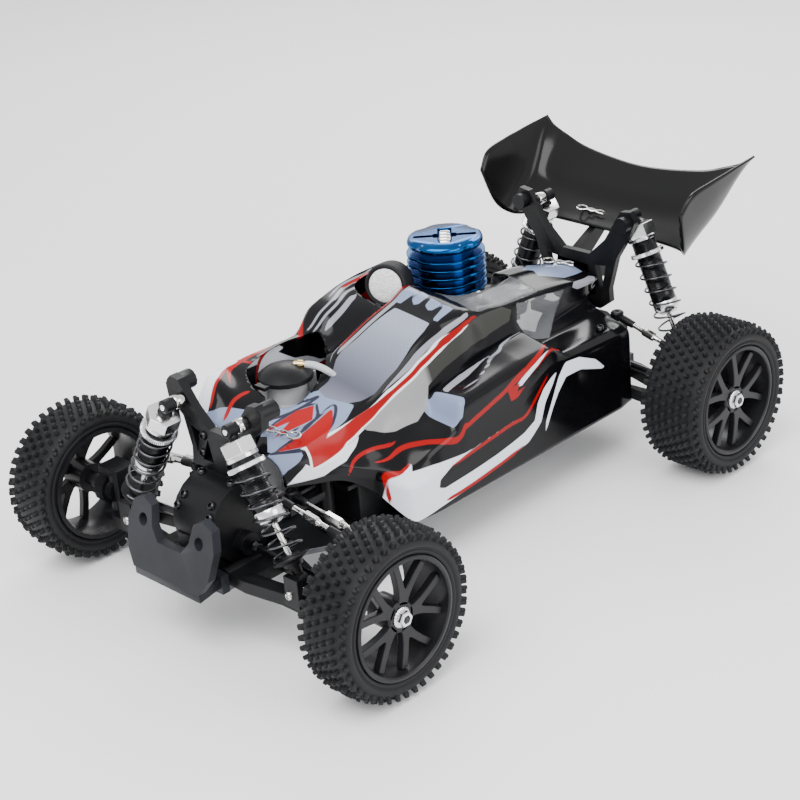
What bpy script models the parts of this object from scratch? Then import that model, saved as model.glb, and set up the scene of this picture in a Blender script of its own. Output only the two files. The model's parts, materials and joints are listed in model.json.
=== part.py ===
"""Four-wheel-drive nitro buggy, about one tenth scale.

The car faces -Y, +X is its left side, and the wheels stand on z = 0.
All sizes in this file are in millimetres, and MM turns them into metres.
"""
import math

import bpy
from mathutils import Matrix, Vector

MM = 0.001

# ---- driving dimensions -------------------------------------------------------------------------
WHEEL_R = 43.7            # to the tips of the tread pins
AXLE_Z = WHEEL_R
WHEELBASE = 276.0
FRONT_Y = -152.0          # front axle
REAR_Y = FRONT_Y + WHEELBASE
GAP = 0.3                 # between pieces that touch

AXLES = {
    # wheel_x: wheel centre; half: rim half width; tyre: tyre half width; y: axle line
    "front": {"y": FRONT_Y, "wheel_x": 113.5, "half": 15.0, "tyre": 15.5,
              "arm_in": (20.0, 36.0), "arm_out": (76.0, 33.0),
              "link_in": (30.0, 71.0), "link_out": (79.0, 62.0), "link_y": -140.0,
              "shock_top": (23.7, 113.5), "shock_low": (64.0, 45.0), "shock_y": -158.5,
              "bone_end": 80.0},
    "rear": {"y": REAR_Y, "wheel_x": 98.7, "half": 18.2, "tyre": 19.5,
             "arm_in": (20.0, 36.0), "arm_out": (74.0, 33.0),
             "link_in": (29.5, 73.0), "link_out": (75.0, 59.0), "link_y": 127.0,
             "shock_top": (32.2, 130.4), "shock_low": (70.0, 42.0), "shock_y": 141.5,
             "bone_end": 70.5},
}
OUTDRIVE = (20.0, 47.0)   # where a drive shaft leaves its gearbox: x, z
RIM_R = 31.1
PLATE_Z = (27.0, 30.0)    # chassis plate
KINGPIN_X = 88.0
STEER_ARM = 24.0          # from kingpin to tie rod, and on the bellcrank
TIE_Z = 60.0
DRAG_Y = -122.0
CRANK_X = -26.1           # engine crankshaft
SHAFT_Z = 47.0
SPUR_TEETH, BELL_TEETH, GEAR_MODULE = 40, 18, 0.9
HEAD_Y = 47.0
LID = (-27.0, -78.0, 97.0)   # fuel tank lid, centre of its underside
LID_R = 15.0
WHEEL_STEPS = 20

COLOURS = {
    "black_plastic": ((0.025, 0.026, 0.028), 0.55, 0.0),
    "grey_plastic": ((0.06, 0.065, 0.075), 0.5, 0.0),
    "rubber": ((0.02, 0.02, 0.021), 0.8, 0.0),
    "silver": ((0.75, 0.76, 0.78), 0.25, 1.0),
    "steel": ((0.55, 0.54, 0.52), 0.3, 1.0),
    "dark_steel": ((0.12, 0.12, 0.13), 0.35, 1.0),
    "shell": ((0.05, 0.05, 0.06), 0.12, 0.0),
    "wing": ((0.012, 0.012, 0.015), 0.15, 0.0),
    "blue_metal": ((0.02, 0.12, 0.42), 0.25, 1.0),
    "tank": ((0.55, 0.56, 0.58), 0.3, 0.0),
    "foam": ((0.85, 0.85, 0.86), 0.8, 0.0),
}


def material(name):
    made = bpy.data.materials.get(name)
    if made:
        return made
    colour, rough, metal = COLOURS[name]
    made = bpy.data.materials.new(name)
    made.use_nodes = True
    shader = made.node_tree.nodes["Principled BSDF"]
    shader.inputs["Base Color"].default_value = (*colour, 1.0)
    shader.inputs["Roughness"].default_value = rough
    shader.inputs["Metallic"].default_value = metal
    return made


# ---- building blocks ----------------------------------------------------------------------------
def solid(name, points, faces):
    """A mesh object from points in millimetres, with its normals made to face out."""
    mesh = bpy.data.meshes.new(name)
    mesh.from_pydata([Vector(p) * MM for p in points], [], faces)
    made = bpy.data.objects.new(name, mesh)
    bpy.context.collection.objects.link(made)
    return made


def prism(name, outline, axis, low, high):
    """An outline of (u, v) points pushed along an axis; u and v are the other two axes in order."""
    def place(u, v, w):
        if axis == "x":
            return (w, u, v)
        if axis == "y":
            return (u, w, v)
        return (u, v, w)
    area = sum(a[0] * b[1] - b[0] * a[1] for a, b in zip(outline, outline[1:] + outline[:1]))
    if area < 0:
        outline = outline[::-1]
    n = len(outline)
    points = [place(u, v, low) for u, v in outline] + [place(u, v, high) for u, v in outline]
    faces = [list(range(n))[::-1], [n + i for i in range(n)]]
    faces += [(i, (i + 1) % n, n + (i + 1) % n, n + i) for i in range(n)]
    if axis == "y":
        faces = [f[::-1] for f in faces]
    return solid(name, points, faces)


def block(name, x, y, z):
    return prism(name, [(x[0], y[0]), (x[1], y[0]), (x[1], y[1]), (x[0], y[1])], "z", z[0], z[1])


def upright(direction):
    """A direction square to the given one, level where it can be."""
    side = direction.cross(Vector((0, 0, 1)))
    return side.normalized() if side.length > 0.01 else Vector((1, 0, 0))


def lathe(name, profile, start, direction, steps=WHEEL_STEPS):
    """Turns (along, radius) points about a line. Radius 0 closes an end."""
    direction = Vector(direction).normalized()
    side = upright(direction)
    other = direction.cross(side)
    start = Vector(start)
    points, rings = [], []
    for along, radius in profile:
        if radius == 0:
            rings.append([len(points)])
            points.append(start + direction * along)
            continue
        rings.append(list(range(len(points), len(points) + steps)))
        for k in range(steps):
            turn = 2 * math.pi * k / steps
            points.append(start + direction * along
                          + (side * math.cos(turn) + other * math.sin(turn)) * radius)
    faces = []
    closed = profile[0][1] != 0
    pairs = list(zip(rings, rings[1:] + (rings[:1] if closed else [])))
    if not closed:
        pairs = pairs[:len(rings) - 1]
    for a, b in pairs:
        for k in range(steps):
            n = (k + 1) % steps
            if len(a) == 1:
                faces.append((a[0], b[n], b[k]))
            elif len(b) == 1:
                faces.append((a[k], a[n], b[0]))
            else:
                faces.append((a[k], a[n], b[n], b[k]))
    return solid(name, points, faces)


def rod(name, start, end, radius, steps=8):
    start, end = Vector(start), Vector(end)
    length = (end - start).length
    return lathe(name, [(0, 0), (0, radius), (length, radius), (length, 0)], start, end - start, steps)


def tube(name, start, end, radius, bore, steps=12):
    start, end = Vector(start), Vector(end)
    length = (end - start).length
    return lathe(name, [(0, bore), (0, radius), (length, radius), (length, bore)],
                 start, end - start, steps)


def combine(base, others, operation="UNION"):
    """Booleans the others into the base, one after the other, and removes them."""
    for other in others:
        step = base.modifiers.new(operation, "BOOLEAN")
        step.operation = operation
        step.solver = "EXACT"
        step.object = other
        bpy.context.view_layer.update()
        done = bpy.data.meshes.new_from_object(base.evaluated_get(bpy.context.evaluated_depsgraph_get()))
        base.modifiers.clear()
        base.data = done
        bpy.data.objects.remove(other)
    return base


def cut(base, others):
    return combine(base, others, "DIFFERENCE")


def mirrored(made, name):
    """The same piece on the car's right side."""
    mesh = made.data.copy()
    mesh.transform(Matrix.Scale(-1, 4, (1, 0, 0)))
    mesh.flip_normals()
    twin = bpy.data.objects.new(name, mesh)
    bpy.context.collection.objects.link(twin)
    return twin


def finish(made, colour, pivot=None, smooth=True):
    """Gives a node its material and, if it moves, its origin on the joint's axis."""
    made.data.materials.clear()
    made.data.materials.append(material(colour))
    for face in made.data.polygons:
        face.material_index = 0
    if smooth:
        made.data.shade_smooth()
        made.data.set_sharp_from_angle(angle=math.radians(35))
    if pivot is not None:
        pivot = Vector(pivot) * MM
        made.data.transform(Matrix.Translation(-pivot))
        made.location = pivot
    return made


def both_sides(made, stem, colour, pivot):
    """Names a left piece, and makes its right twin."""
    twin = mirrored(made, stem.replace("left", "right"))
    made.name = stem
    finish(made, colour, pivot)
    finish(twin, colour, (-pivot[0], pivot[1], pivot[2]))
    return made, twin


def along(p, q, share):
    return tuple(a + (b - a) * share for a, b in zip(p, q))


# ---- wheels -------------------------------------------------------------------------------------
def make_wheels(end, a):
    """Rim with its drive hex and stub axle, and the tyre seated between its flanges."""
    h, x, y = a["half"], a["wheel_x"], a["y"]
    stub = 86.0 if end == "front" else 75.0
    rim = lathe("rim", [
        (stub - x, 0), (stub - x, 4.0), (-3.0, 4.0), (-3.0, 8.0), (8.0, 8.0), (8.0, 27.6), (-h, 28.2),
        (-h, RIM_R), (2.0 - h, RIM_R), (2.4 - h, 30.0), (h - 2.4, 30.0), (h - 2.0, RIM_R), (h, RIM_R),
        (h, 29.0), (11.0, 27.6), (11.0, 6.5), (h - 0.5, 6.5), (h - 0.5, 0)],
        (x, y, AXLE_Z), (1, 0, 0))
    t = a["tyre"]
    tyre = lathe("tyre", [
        (2.8 - h, 30.0 + GAP), (2.8 - h, 31.6), (0.5 - t, 31.8), (-t, 37.0), (2.0 - t, 42.0),
        (7.0 - t, WHEEL_R), (t - 7.0, WHEEL_R), (t - 2.0, 42.0), (t, 37.0),
        (t - 0.5, 31.8), (h - 2.8, 31.6), (h - 2.8, 30.0 + GAP)], (x, y, AXLE_Z), (1, 0, 0))
    both_sides(rim, end + "_left_rim", "black_plastic", (x, y, AXLE_Z))
    both_sides(tyre, end + "_left_tyre", "rubber", (x, y, AXLE_Z))


# ---- suspension ---------------------------------------------------------------------------------
def make_arm(end, a):
    """Lower arm: a barrel on the inner hinge pin, two legs, and a fork for the hub's eye."""
    (xi, zi), (xo, zo), y = a["arm_in"], a["arm_out"], a["y"]
    slope = (zo - zi) / (xo - xi)
    if end == "front":
        outline = [(xi, -169.8), (34, -169.8), (56, -165.0), (xo + 3, -164.0), (xo + 3, -159.4),
                   (xo - 6, -159.4), (xo - 6, -144.6), (xo + 3, -144.6), (xo + 3, -140.0),
                   (54, -140.0), (34, -134.2), (xi, -134.2)]
        window = [(34, -161.0), (50, -158.0), (60, -156.0), (60, -148.0), (50, -147.0), (34, -144.0)]
        barrel_y = (-169.8, -134.2)
        lug = block("lug", (59, 69), (-165.6, -162.0), (33, 49))
    else:
        outline = [(xi, 106.3), (34, 106.3), (45, 112.6), (xo + 3, 112.6), (xo + 3, 116.6),
                   (xo - 6, 116.6), (xo - 6, 131.4), (xo + 3, 131.4), (xo + 3, 136.0),
                   (54, 137.6), (34, 141.7), (xi, 141.7)]
        window = [(32, 114.0), (50, 117.0), (58, 118.0), (58, 129.0), (50, 130.0), (32, 134.0)]
        barrel_y = (106.3, 141.7)
        lug = block("lug", (64.6, 73.2), (133.6, 138.2), (32.5, 46))
    arm = prism("arm", outline, "z", -3.5, 3.5)
    cut(arm, [prism("window", window, "z", -5, 5)])
    for vertex in arm.data.vertices:
        vertex.co.z += (zi + slope * (vertex.co.x / MM - xi)) * MM
    combine(arm, [rod("barrel", (xi, barrel_y[0], zi), (xi, barrel_y[1], zi), 4.6, 12), lug])
    both_sides(arm, end + "_left_arm", "black_plastic", (xi, y, zi))


def make_front_hub(a):
    """C-shaped carrier on the arm, and the steering knuckle between its jaws."""
    (xo, zo), y = a["arm_out"], a["y"]
    carrier = prism("carrier", [
        (77, 27.7), (93, 27.7), (93, 31.7), (81, 31.7), (81, 55.7), (93, 55.7), (93, 59.7), (77, 59.7)],
        "y", y - 6.5, y + 6.5)
    combine(carrier, [rod("eye", (xo, y - 7.1, zo), (xo, y + 7.1, zo), 4.2, 12),
                      block("ear", (76, 82), (y + 5, -136.5), (55.7, 59.0))])
    cut(carrier, [rod("shaft_hole", (70, y, AXLE_Z), (84, y, AXLE_Z), 5.4, 12)])
    both_sides(carrier, "front_left_hub_carrier", "black_plastic", (xo, y, zo))
    knuckle = tube("knuckle", (85.5, y, AXLE_Z), (97.0, y, AXLE_Z), 6.4, 4.3)
    combine(knuckle, [
        tube("collar", (90.0, y, AXLE_Z), (97.0, y, AXLE_Z), 8.8, 4.3),
        rod("upper_boss", (KINGPIN_X, y, AXLE_Z + 5.6), (KINGPIN_X, y, 55.4), 4.0),
        rod("lower_boss", (KINGPIN_X, y, 32.0), (KINGPIN_X, y, AXLE_Z - 5.6), 4.0),
        block("arm", (KINGPIN_X - 3, KINGPIN_X + 3), (y + 3, y + STEER_ARM + 4), (49.0, 53.4))])
    both_sides(knuckle, "front_left_knuckle", "black_plastic", (KINGPIN_X, y, AXLE_Z))


def make_rear_hub(a):
    (xo, zo), y = a["arm_out"], a["y"]
    hub = tube("hub", (74.5, y, AXLE_Z), (92.0, y, AXLE_Z), 9.0, 4.3)
    ear_y = a["link_y"]
    combine(hub, [rod("eye", (xo, y - 7.1, zo), (xo, y + 7.1, zo), 4.2, 12),
                  prism("leg", [(xo - 1, zo), (xo + 3.9, zo - 1), (xo + 10, 38), (xo + 1, 38)],
                        "y", y - 5, y + 5),
                  block("post", (xo + 0.6, xo + 6), (y - 5, y + 5), (50.5, 55.5)),
                  block("ear", (xo - 3, xo + 6), (y - 3, ear_y + 3), (52.0, 55.5))])
    both_sides(hub, "rear_left_hub", "black_plastic", (xo, y, zo))


def make_camber_link(end, a):
    """Turnbuckle with a cup at each end, over the gearbox bracket and the hub's ear."""
    p = (a["link_in"][0], a["link_y"], a["link_in"][1])
    q = (a["link_out"][0], a["link_y"], a["link_out"][1] + 1.6)
    link = rod("link", along(p, q, 0.04), along(p, q, 0.96), 1.6, 8)
    ends = [rod("cup", (c[0], c[1], c[2] - 2.2), (c[0], c[1], c[2] + 2.8), 3.8) for c in (p, q)]
    combine(link, ends + [rod("sleeve", along(p, q, 0.42), along(p, q, 0.56), 2.6, 6)])
    both_sides(link, end + "_left_camber_link", "steel", p)


def shock_line(a):
    top = Vector((a["shock_top"][0], a["shock_y"], a["shock_top"][1]))
    low = Vector((a["shock_low"][0], a["shock_y"], a["shock_low"][1]))
    return top, low, (low - top).normalized(), (low - top).length


def coil(name, start, direction, length, radius, wire, turns, per_turn=8, sides=3):
    """A coil spring with its first and last half turn drawn flat."""
    direction = Vector(direction).normalized()
    side = upright(direction)
    other = direction.cross(side)
    steps = int(turns * per_turn)
    points, faces = [], []
    for k in range(steps + 1):
        turn = 2 * math.pi * k / per_turn
        share = k / steps
        out = side * math.cos(turn) + other * math.sin(turn)
        centre = Vector(start) + direction * (wire + share * (length - 2 * wire)) + out * radius
        for s in range(sides):
            w = 2 * math.pi * (s + 0.5) / sides
            points.append(centre + (out * math.cos(w) + direction * math.sin(w)) * wire)
    for k in range(steps):
        for s in range(sides):
            n = (s + 1) % sides
            faces.append((k * sides + s, k * sides + n, (k + 1) * sides + n, (k + 1) * sides + s))
    faces.append(tuple(range(sides))[::-1])
    faces.append(tuple(steps * sides + s for s in range(sides)))
    made = solid(name, points, faces)
    made.data.flip_normals()
    return made


def make_shock(end, a):
    """Oil shock: cylinder with cap, collar and top eye; shaft with lower eye and spring cup; spring."""
    top, low, u, length = shock_line(a)
    tube_end = length * 0.60
    seat_top, cup_at = length * 0.25, length - 12.5
    body = lathe("body", [
        (5.0, 0), (5.0, 8.6), (14.5, 9.4), (14.5, 6.9), (seat_top - 2.5, 6.9), (seat_top - 2.5, 9.6),
        (seat_top, 9.6), (seat_top, 6.9), (tube_end, 6.9), (tube_end + 2.0, 5.5), (tube_end + 2.0, 0)],
        top, u, 12)
    combine(body, [rod("eye", top - Vector((0, 3, 0)), top + Vector((0, 3, 0)), 3.6, 10),
                   rod("neck", top + u * 1.5, top + u * 6, 2.6, 8)])
    cut(body, [rod("bore", top + u * (tube_end - 28), top + u * (tube_end + 5), 1.8, 10)])
    shaft = lathe("shaft", [
        (tube_end - 12.5, 0), (tube_end - 12.5, 1.5), (cup_at, 1.5), (cup_at, 9.4), (cup_at + 1.8, 9.4),
        (cup_at + 3.0, 3.2), (length - 2.0, 3.2), (length - 2.0, 0)], top, u, 12)
    combine(shaft, [rod("eye", low - Vector((0, 3, 0)), low + Vector((0, 3, 0)), 3.6, 10)])
    spring = coil("spring", top + u * (seat_top + GAP), u, cup_at - seat_top - 2 * GAP, 8.6, 0.75,
                  6.0 if end == "front" else 7.0)
    both_sides(body, end + "_left_shock_body", "dark_steel", tuple(top))
    both_sides(shaft, end + "_left_shock_shaft", "silver", tuple(low))
    both_sides(spring, end + "_left_spring", "dark_steel", tuple(top))


def make_drive_shaft(end, a):
    """Dogbone from the gearbox's outdrive to the hub."""
    x, z = OUTDRIVE
    y, tip = a["y"], a["bone_end"]
    p, q = (x + 3.0, y, z), (tip, y, AXLE_Z)
    bone = rod("bone", p, q, 2.2, 8)
    ball = [(-3.2, 0), (-2.4, 2.4), (0, 3.4), (2.4, 2.4), (3.2, 0)]
    combine(bone, [lathe("ball", ball, along(p, q, s), (1, 0, 0), 8) for s in (0.03, 0.97)])
    both_sides(bone, end + "_left_drive_shaft", "dark_steel", (x, y, z))


# ---- steering -----------------------------------------------------------------------------------
def make_steering():
    """Servo, bellcrank, drag link and tie rods."""
    servo = block("steering_servo", (8, 28), (-84, -44), (30 + GAP, 66))
    combine(servo, [block("lugs", (8, 28), (-91, -37), (52, 55)),
                    rod("horn_boss", (18, -74, 65), (18, -74, 70), 5)])
    finish(servo, "black_plastic")
    pivot = (18.0, DRAG_Y + STEER_ARM, 56.0)
    crank = rod("bellcrank", (18, pivot[1], 30 + GAP), (18, pivot[1], 64), 4.2, 12)
    combine(crank, [block("arm", (15, 21), (DRAG_Y - 3, pivot[1]), (50, 54.5))])
    finish(crank, "black_plastic", pivot)
    link = block("drag_link", (-23, 23), (DRAG_Y - 3, DRAG_Y + 3), (54.8, 57.0))
    finish(link, "black_plastic", (0, DRAG_Y, 56.0))
    p = (20.0, DRAG_Y, TIE_Z + 1.4)
    q = (KINGPIN_X, FRONT_Y + STEER_ARM, TIE_Z - 2.0)
    tie = rod("tie", along(p, q, 0.04), along(p, q, 0.96), 1.6, 8)
    ends = [rod("cup", (c[0], c[1], c[2] - 2.4), (c[0], c[1], c[2] + 2.6), 3.6) for c in (p, q)]
    combine(tie, ends + [rod("sleeve", along(p, q, 0.4), along(p, q, 0.56), 2.6, 6)])
    both_sides(tie, "left_tie_rod", "steel", (20.0, DRAG_Y, TIE_Z))


# ---- chassis, gearboxes, towers, bumper ---------------------------------------------------------
def make_chassis():
    half = [(19, -171.5), (19, -128), (34, -104), (42, -74), (47, -60), (47, 96), (36, 106), (17, 112),
            (17, 147)]
    outline = half + [(-x, y) for x, y in half[::-1]]
    plate = prism("chassis_plate", outline, "z", *PLATE_Z)
    cut(plate, [block("gear_slot", (-12, 12), (2, 13), (25, 32))])
    finish(plate, "grey_plastic")


def drum(name, y, z, radius, half_width, steps=20):
    return rod(name, (-half_width, y, z), (half_width, y, z), radius, steps)


def make_gearboxes():
    """Each case is a drum round the differential, with the hinge pin carriers moulded on."""
    z0 = PLATE_Z[1] + GAP
    front = block("front_gearbox", (-13, 13), (-171, -129), (z0, 52))
    combine(front, [
        drum("case", -150, 57, 21, 15), drum("outdrives", FRONT_Y, SHAFT_Z, 6, 20.5, 14),
        block("hinge_carrier", (-25, 25), (-133.7, -129.3), (z0, 41)),
        block("link_bracket", (-34, 34), (-143.3, -136.5), (61, 66.8)),
        rod("nose_bearing", (0, -132, SHAFT_Z), (0, -128, SHAFT_Z), 9, 14)])
    finish(front, "black_plastic")
    rear = block("rear_gearbox", (-13, 13), (104, 144), (z0, 50))
    combine(rear, [
        drum("case", 124, 53, 20, 15), drum("outdrives", REAR_Y, SHAFT_Z, 6, 20.5, 14),
        block("front_carrier", (-25, 25), (101.5, 105.9), (z0, 41)),
        block("rear_carrier", (-25, 25), (142.1, 146.5), (z0, 41)),
        block("link_bracket", (-34, 34), (123.4, 130.6), (63, 68.6))])
    finish(rear, "black_plastic")


def make_towers():
    """Shock towers, V shaped with lightening windows; the rear one carries the wing's posts."""
    half = [(14, 78.4), (22, 78.4), (21, 88), (25, 104), (35, 112), (36, 119), (32, 124), (26, 123),
            (16, 110), (6, 101)]
    outline = half + [(-x, z) for x, z in half[::-1]]
    front = prism("front_shock_tower", outline, "y", -148.5, -143.5)
    windows = [[(5, 83), (13, 83), (8, 95)], [(17, 86), (20, 100), (13, 98)]]
    cut(front, [prism("window", [(s * x, z) for x, z in w], "y", -151, -142)
                for w in windows for s in (1, -1)])
    studs = []
    top = AXLES["front"]["shock_top"]
    for s in (1, -1):
        studs.append(rod("stud", (s * top[0], -155.2, top[1]), (s * top[0], -148, top[1]), 2.6, 10))
        studs.append(rod("ear", (s * 31, -148, 118.5), (s * 31, -136, 118.5), 5.0, 12))
    combine(front, studs + [rod("body_post", (0, -147, 95), (0, -118, 95), 3.5, 10)])
    finish(front, "black_plastic")
    half = [(8, 74.4), (17, 74.4), (24.4, 80), (24, 88), (30, 108), (40, 124), (44, 132), (41, 138),
            (34, 137), (22, 118), (10, 107)]
    outline = half + [(-x, z) for x, z in half[::-1]]
    rear = prism("rear_shock_tower", outline, "y", 127.2, 131.2)
    windows = [[(4, 82), (14, 82), (8, 100)], [(18, 84), (22, 102), (14, 101)]]
    cut(rear, [prism("window", [(s * x, z) for x, z in w], "y", 125, 133)
               for w in windows for s in (1, -1)])
    top = AXLES["rear"]["shock_top"]
    extra = []
    for s in (1, -1):
        extra.append(rod("stud", (s * top[0], 130, top[1]), (s * top[0], 138.2, top[1]), 2.6, 10))
        extra.append(rod("boss", (s * 38, 122, 131), (s * 38, 130, 131), 4.6, 12))
        extra.append(prism("wing_post", [(130, 90), (139, 90), (162, 107), (162, 113.6), (152, 110.4),
                                         (130, 100)], "x", *sorted((6.5 * s, 11.5 * s))))
    combine(rear, extra)
    finish(rear, "black_plastic")


def make_bumper():
    """Upright plate with a U notch, leaning back, on a skid that carries the front hinge pins."""
    half = [(0, 54), (9, 54), (14, 60), (16, 70), (22, 73), (30, 70), (33, 60), (31, 46), (25, 37.5),
            (0, 37.5)]
    outline = half + [(-x, z) for x, z in half[-2:0:-1]]
    bumper = prism("front_bumper", outline, "y", -184.5, -179.5)
    cut(bumper, [rod("hole", (s * 21.4, -190, 62), (s * 21.4, -172, 62), 3.2, 12) for s in (1, -1)])
    lean = 0.3
    for vertex in bumper.data.vertices:
        vertex.co.y += (vertex.co.z - 62 * MM) * lean
    combine(bumper, [
        prism("skid", [(-25, -191.0), (25, -191.0), (21, -172.2), (-21, -172.2)], "z", 33, 38.5),
        block("hinge_carrier", (-25, 25), (-176.5, -171.8), (31, 41))])
    finish(bumper, "grey_plastic")


# ---- engine, fuel, radio ------------------------------------------------------------------------
def gear(name, teeth, centre, y0, y1, turn=0.0):
    """Spur gear with straight-sided teeth about an axis along Y."""
    pitch_r = GEAR_MODULE * teeth / 2
    outer, root = pitch_r + 0.7 * GEAR_MODULE, pitch_r - 0.95 * GEAR_MODULE
    outline = []
    for k in range(teeth):
        base = 2 * math.pi * k / teeth + turn
        for share, radius in ((-0.32, root), (-0.13, outer), (0.13, outer), (0.32, root)):
            w = base + share * 2 * math.pi / teeth
            outline.append((centre[0] + radius * math.cos(w), centre[1] + radius * math.sin(w)))
    return prism(name, outline, "y", y0, y1)


def make_drivetrain():
    """Spur gear and brake disc on the centre shafts, and the engine's clutch bell in mesh."""
    spur = gear("spur_gear", SPUR_TEETH, (0, SHAFT_Z), 5, 10)
    combine(spur, [rod("shaft", (0, -127.5, SHAFT_Z), (0, 100.8, SHAFT_Z), 3, 10),
                   rod("brake_disc", (0, -8, SHAFT_Z), (0, -6, SHAFT_Z), 13, 20)])
    finish(spur, "dark_steel", (0, 7.5, SHAFT_Z))
    half_tooth = math.pi / BELL_TEETH
    bell = gear("clutch_bell", BELL_TEETH, (CRANK_X, SHAFT_Z), 4.5, 11.0, half_tooth)
    combine(bell, [rod("drum", (CRANK_X, 10.6, SHAFT_Z), (CRANK_X, 19.5, SHAFT_Z), 12.5, 16)])
    finish(bell, "silver", (CRANK_X, 7.5, SHAFT_Z))


def make_engine():
    z0 = PLATE_Z[1] + GAP
    engine = block("engine_block", (CRANK_X - 12, CRANK_X + 12), (24, 68), (z0 + 3, 70))
    combine(engine, [
        block("mounts", (CRANK_X - 19, CRANK_X + 17), (28, 64), (z0, 38)),
        rod("front_bearing", (CRANK_X, 20, SHAFT_Z), (CRANK_X, 25, SHAFT_Z), 8, 14),
        rod("cylinder", (CRANK_X, HEAD_Y, 68), (CRANK_X, HEAD_Y, 106.7), 16, 20),
        rod("carburettor", (CRANK_X, 25, 68), (CRANK_X, 25, 88), 5.5, 12)])
    finish(engine, "silver")
    fins = [(107, 0), (107, 20)]
    for k in range(4):
        z = 107 + 6.5 * k
        fins += [(z, 22.5), (z + 3.0, 22.5), (z + 3.0, 17.5), (z + 6.5, 17.5)]
    fins += [(133, 22.5), (136, 21.5), (137, 18), (137, 0)]
    head = lathe("cylinder_head", fins, (CRANK_X, HEAD_Y, 0), (0, 0, 1), 18)
    cut(head, [block("slot", (CRANK_X - 14, CRANK_X + 14), (HEAD_Y - 2.2, HEAD_Y + 2.2), (134.5, 140)),
               block("slot", (CRANK_X - 3.4, CRANK_X + 3.4), (HEAD_Y - 18, HEAD_Y + 18), (134.0, 140))])
    finish(head, "blue_metal")
    p, q = (-34, 17.5, 117.0), (-34, 1.5, 120.0)
    air = lathe("air_filter", [(0, 0), (0, 8), (3, 11.5), (15, 11.5), (16.4, 10), (16.4, 0)],
                p, Vector(q) - Vector(p), 18)
    combine(air, [rod("neck", (-33.5, 14, 112), (CRANK_X, 25, 93), 4.5, 10),
                  rod("socket", (CRANK_X, 25, 95), (CRANK_X, 25, 88.4), 5.0, 12)])
    finish(air, "foam")
    pipe = rod("exhaust_pipe", (-44, 74, 56), (-44, 100, 56), 9.5, 16)
    combine(pipe, [rod("flange", (CRANK_X - 2, 68.3, 60), (CRANK_X - 2, 74, 60), 5.0, 12),
                   rod("header", (CRANK_X - 1, 74, 60), (-42, 79, 56), 4.5, 10),
                   rod("stinger", (-44, 98, 56), (-44, 110, 52), 2.5, 8)])
    finish(pipe, "silver")


def make_fuel_tank():
    z0 = PLATE_Z[1] + GAP
    x, y, z = LID
    tank = block("fuel_tank", (-50, -7), (-106, -52), (z0, 86))
    bevel = tank.modifiers.new("Rounded", "BEVEL")
    bevel.width = 5 * MM
    bevel.segments = 2
    combine(tank, [rod("neck", (x, y, 84), (x, y, z - GAP), 11, 16),
                   block("hinge_stand", (x - 4, x + 4), (y + 12, y + 18), (84, z - GAP - 1))])
    finish(tank, "tank")
    lid = lathe("fuel_tank_lid", [(0, 0), (0, LID_R), (2.5, LID_R), (5.5, 11), (7.5, 5.5), (8, 0)],
                LID, (0, 0, 1), 20)
    combine(lid, [block("hinge_ear", (x - 3.5, x + 3.5), (y + 10, y + 18), (z, z + 3)),
                  block("finger_tab", (x - 4, x + 4), (y - 18.5, y - 12), (z, z + 2))])
    finish(lid, "black_plastic", (x, y + 17, z + 0.5))


def make_radio_box():
    box = block("radio_box", (30.5, 46.5), (-22, 42), (PLATE_Z[1] + GAP, 77))
    combine(box, [block("lid_rim", (29, 48), (-24, 44), (70, 72.5))])
    finish(box, "black_plastic")


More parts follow.
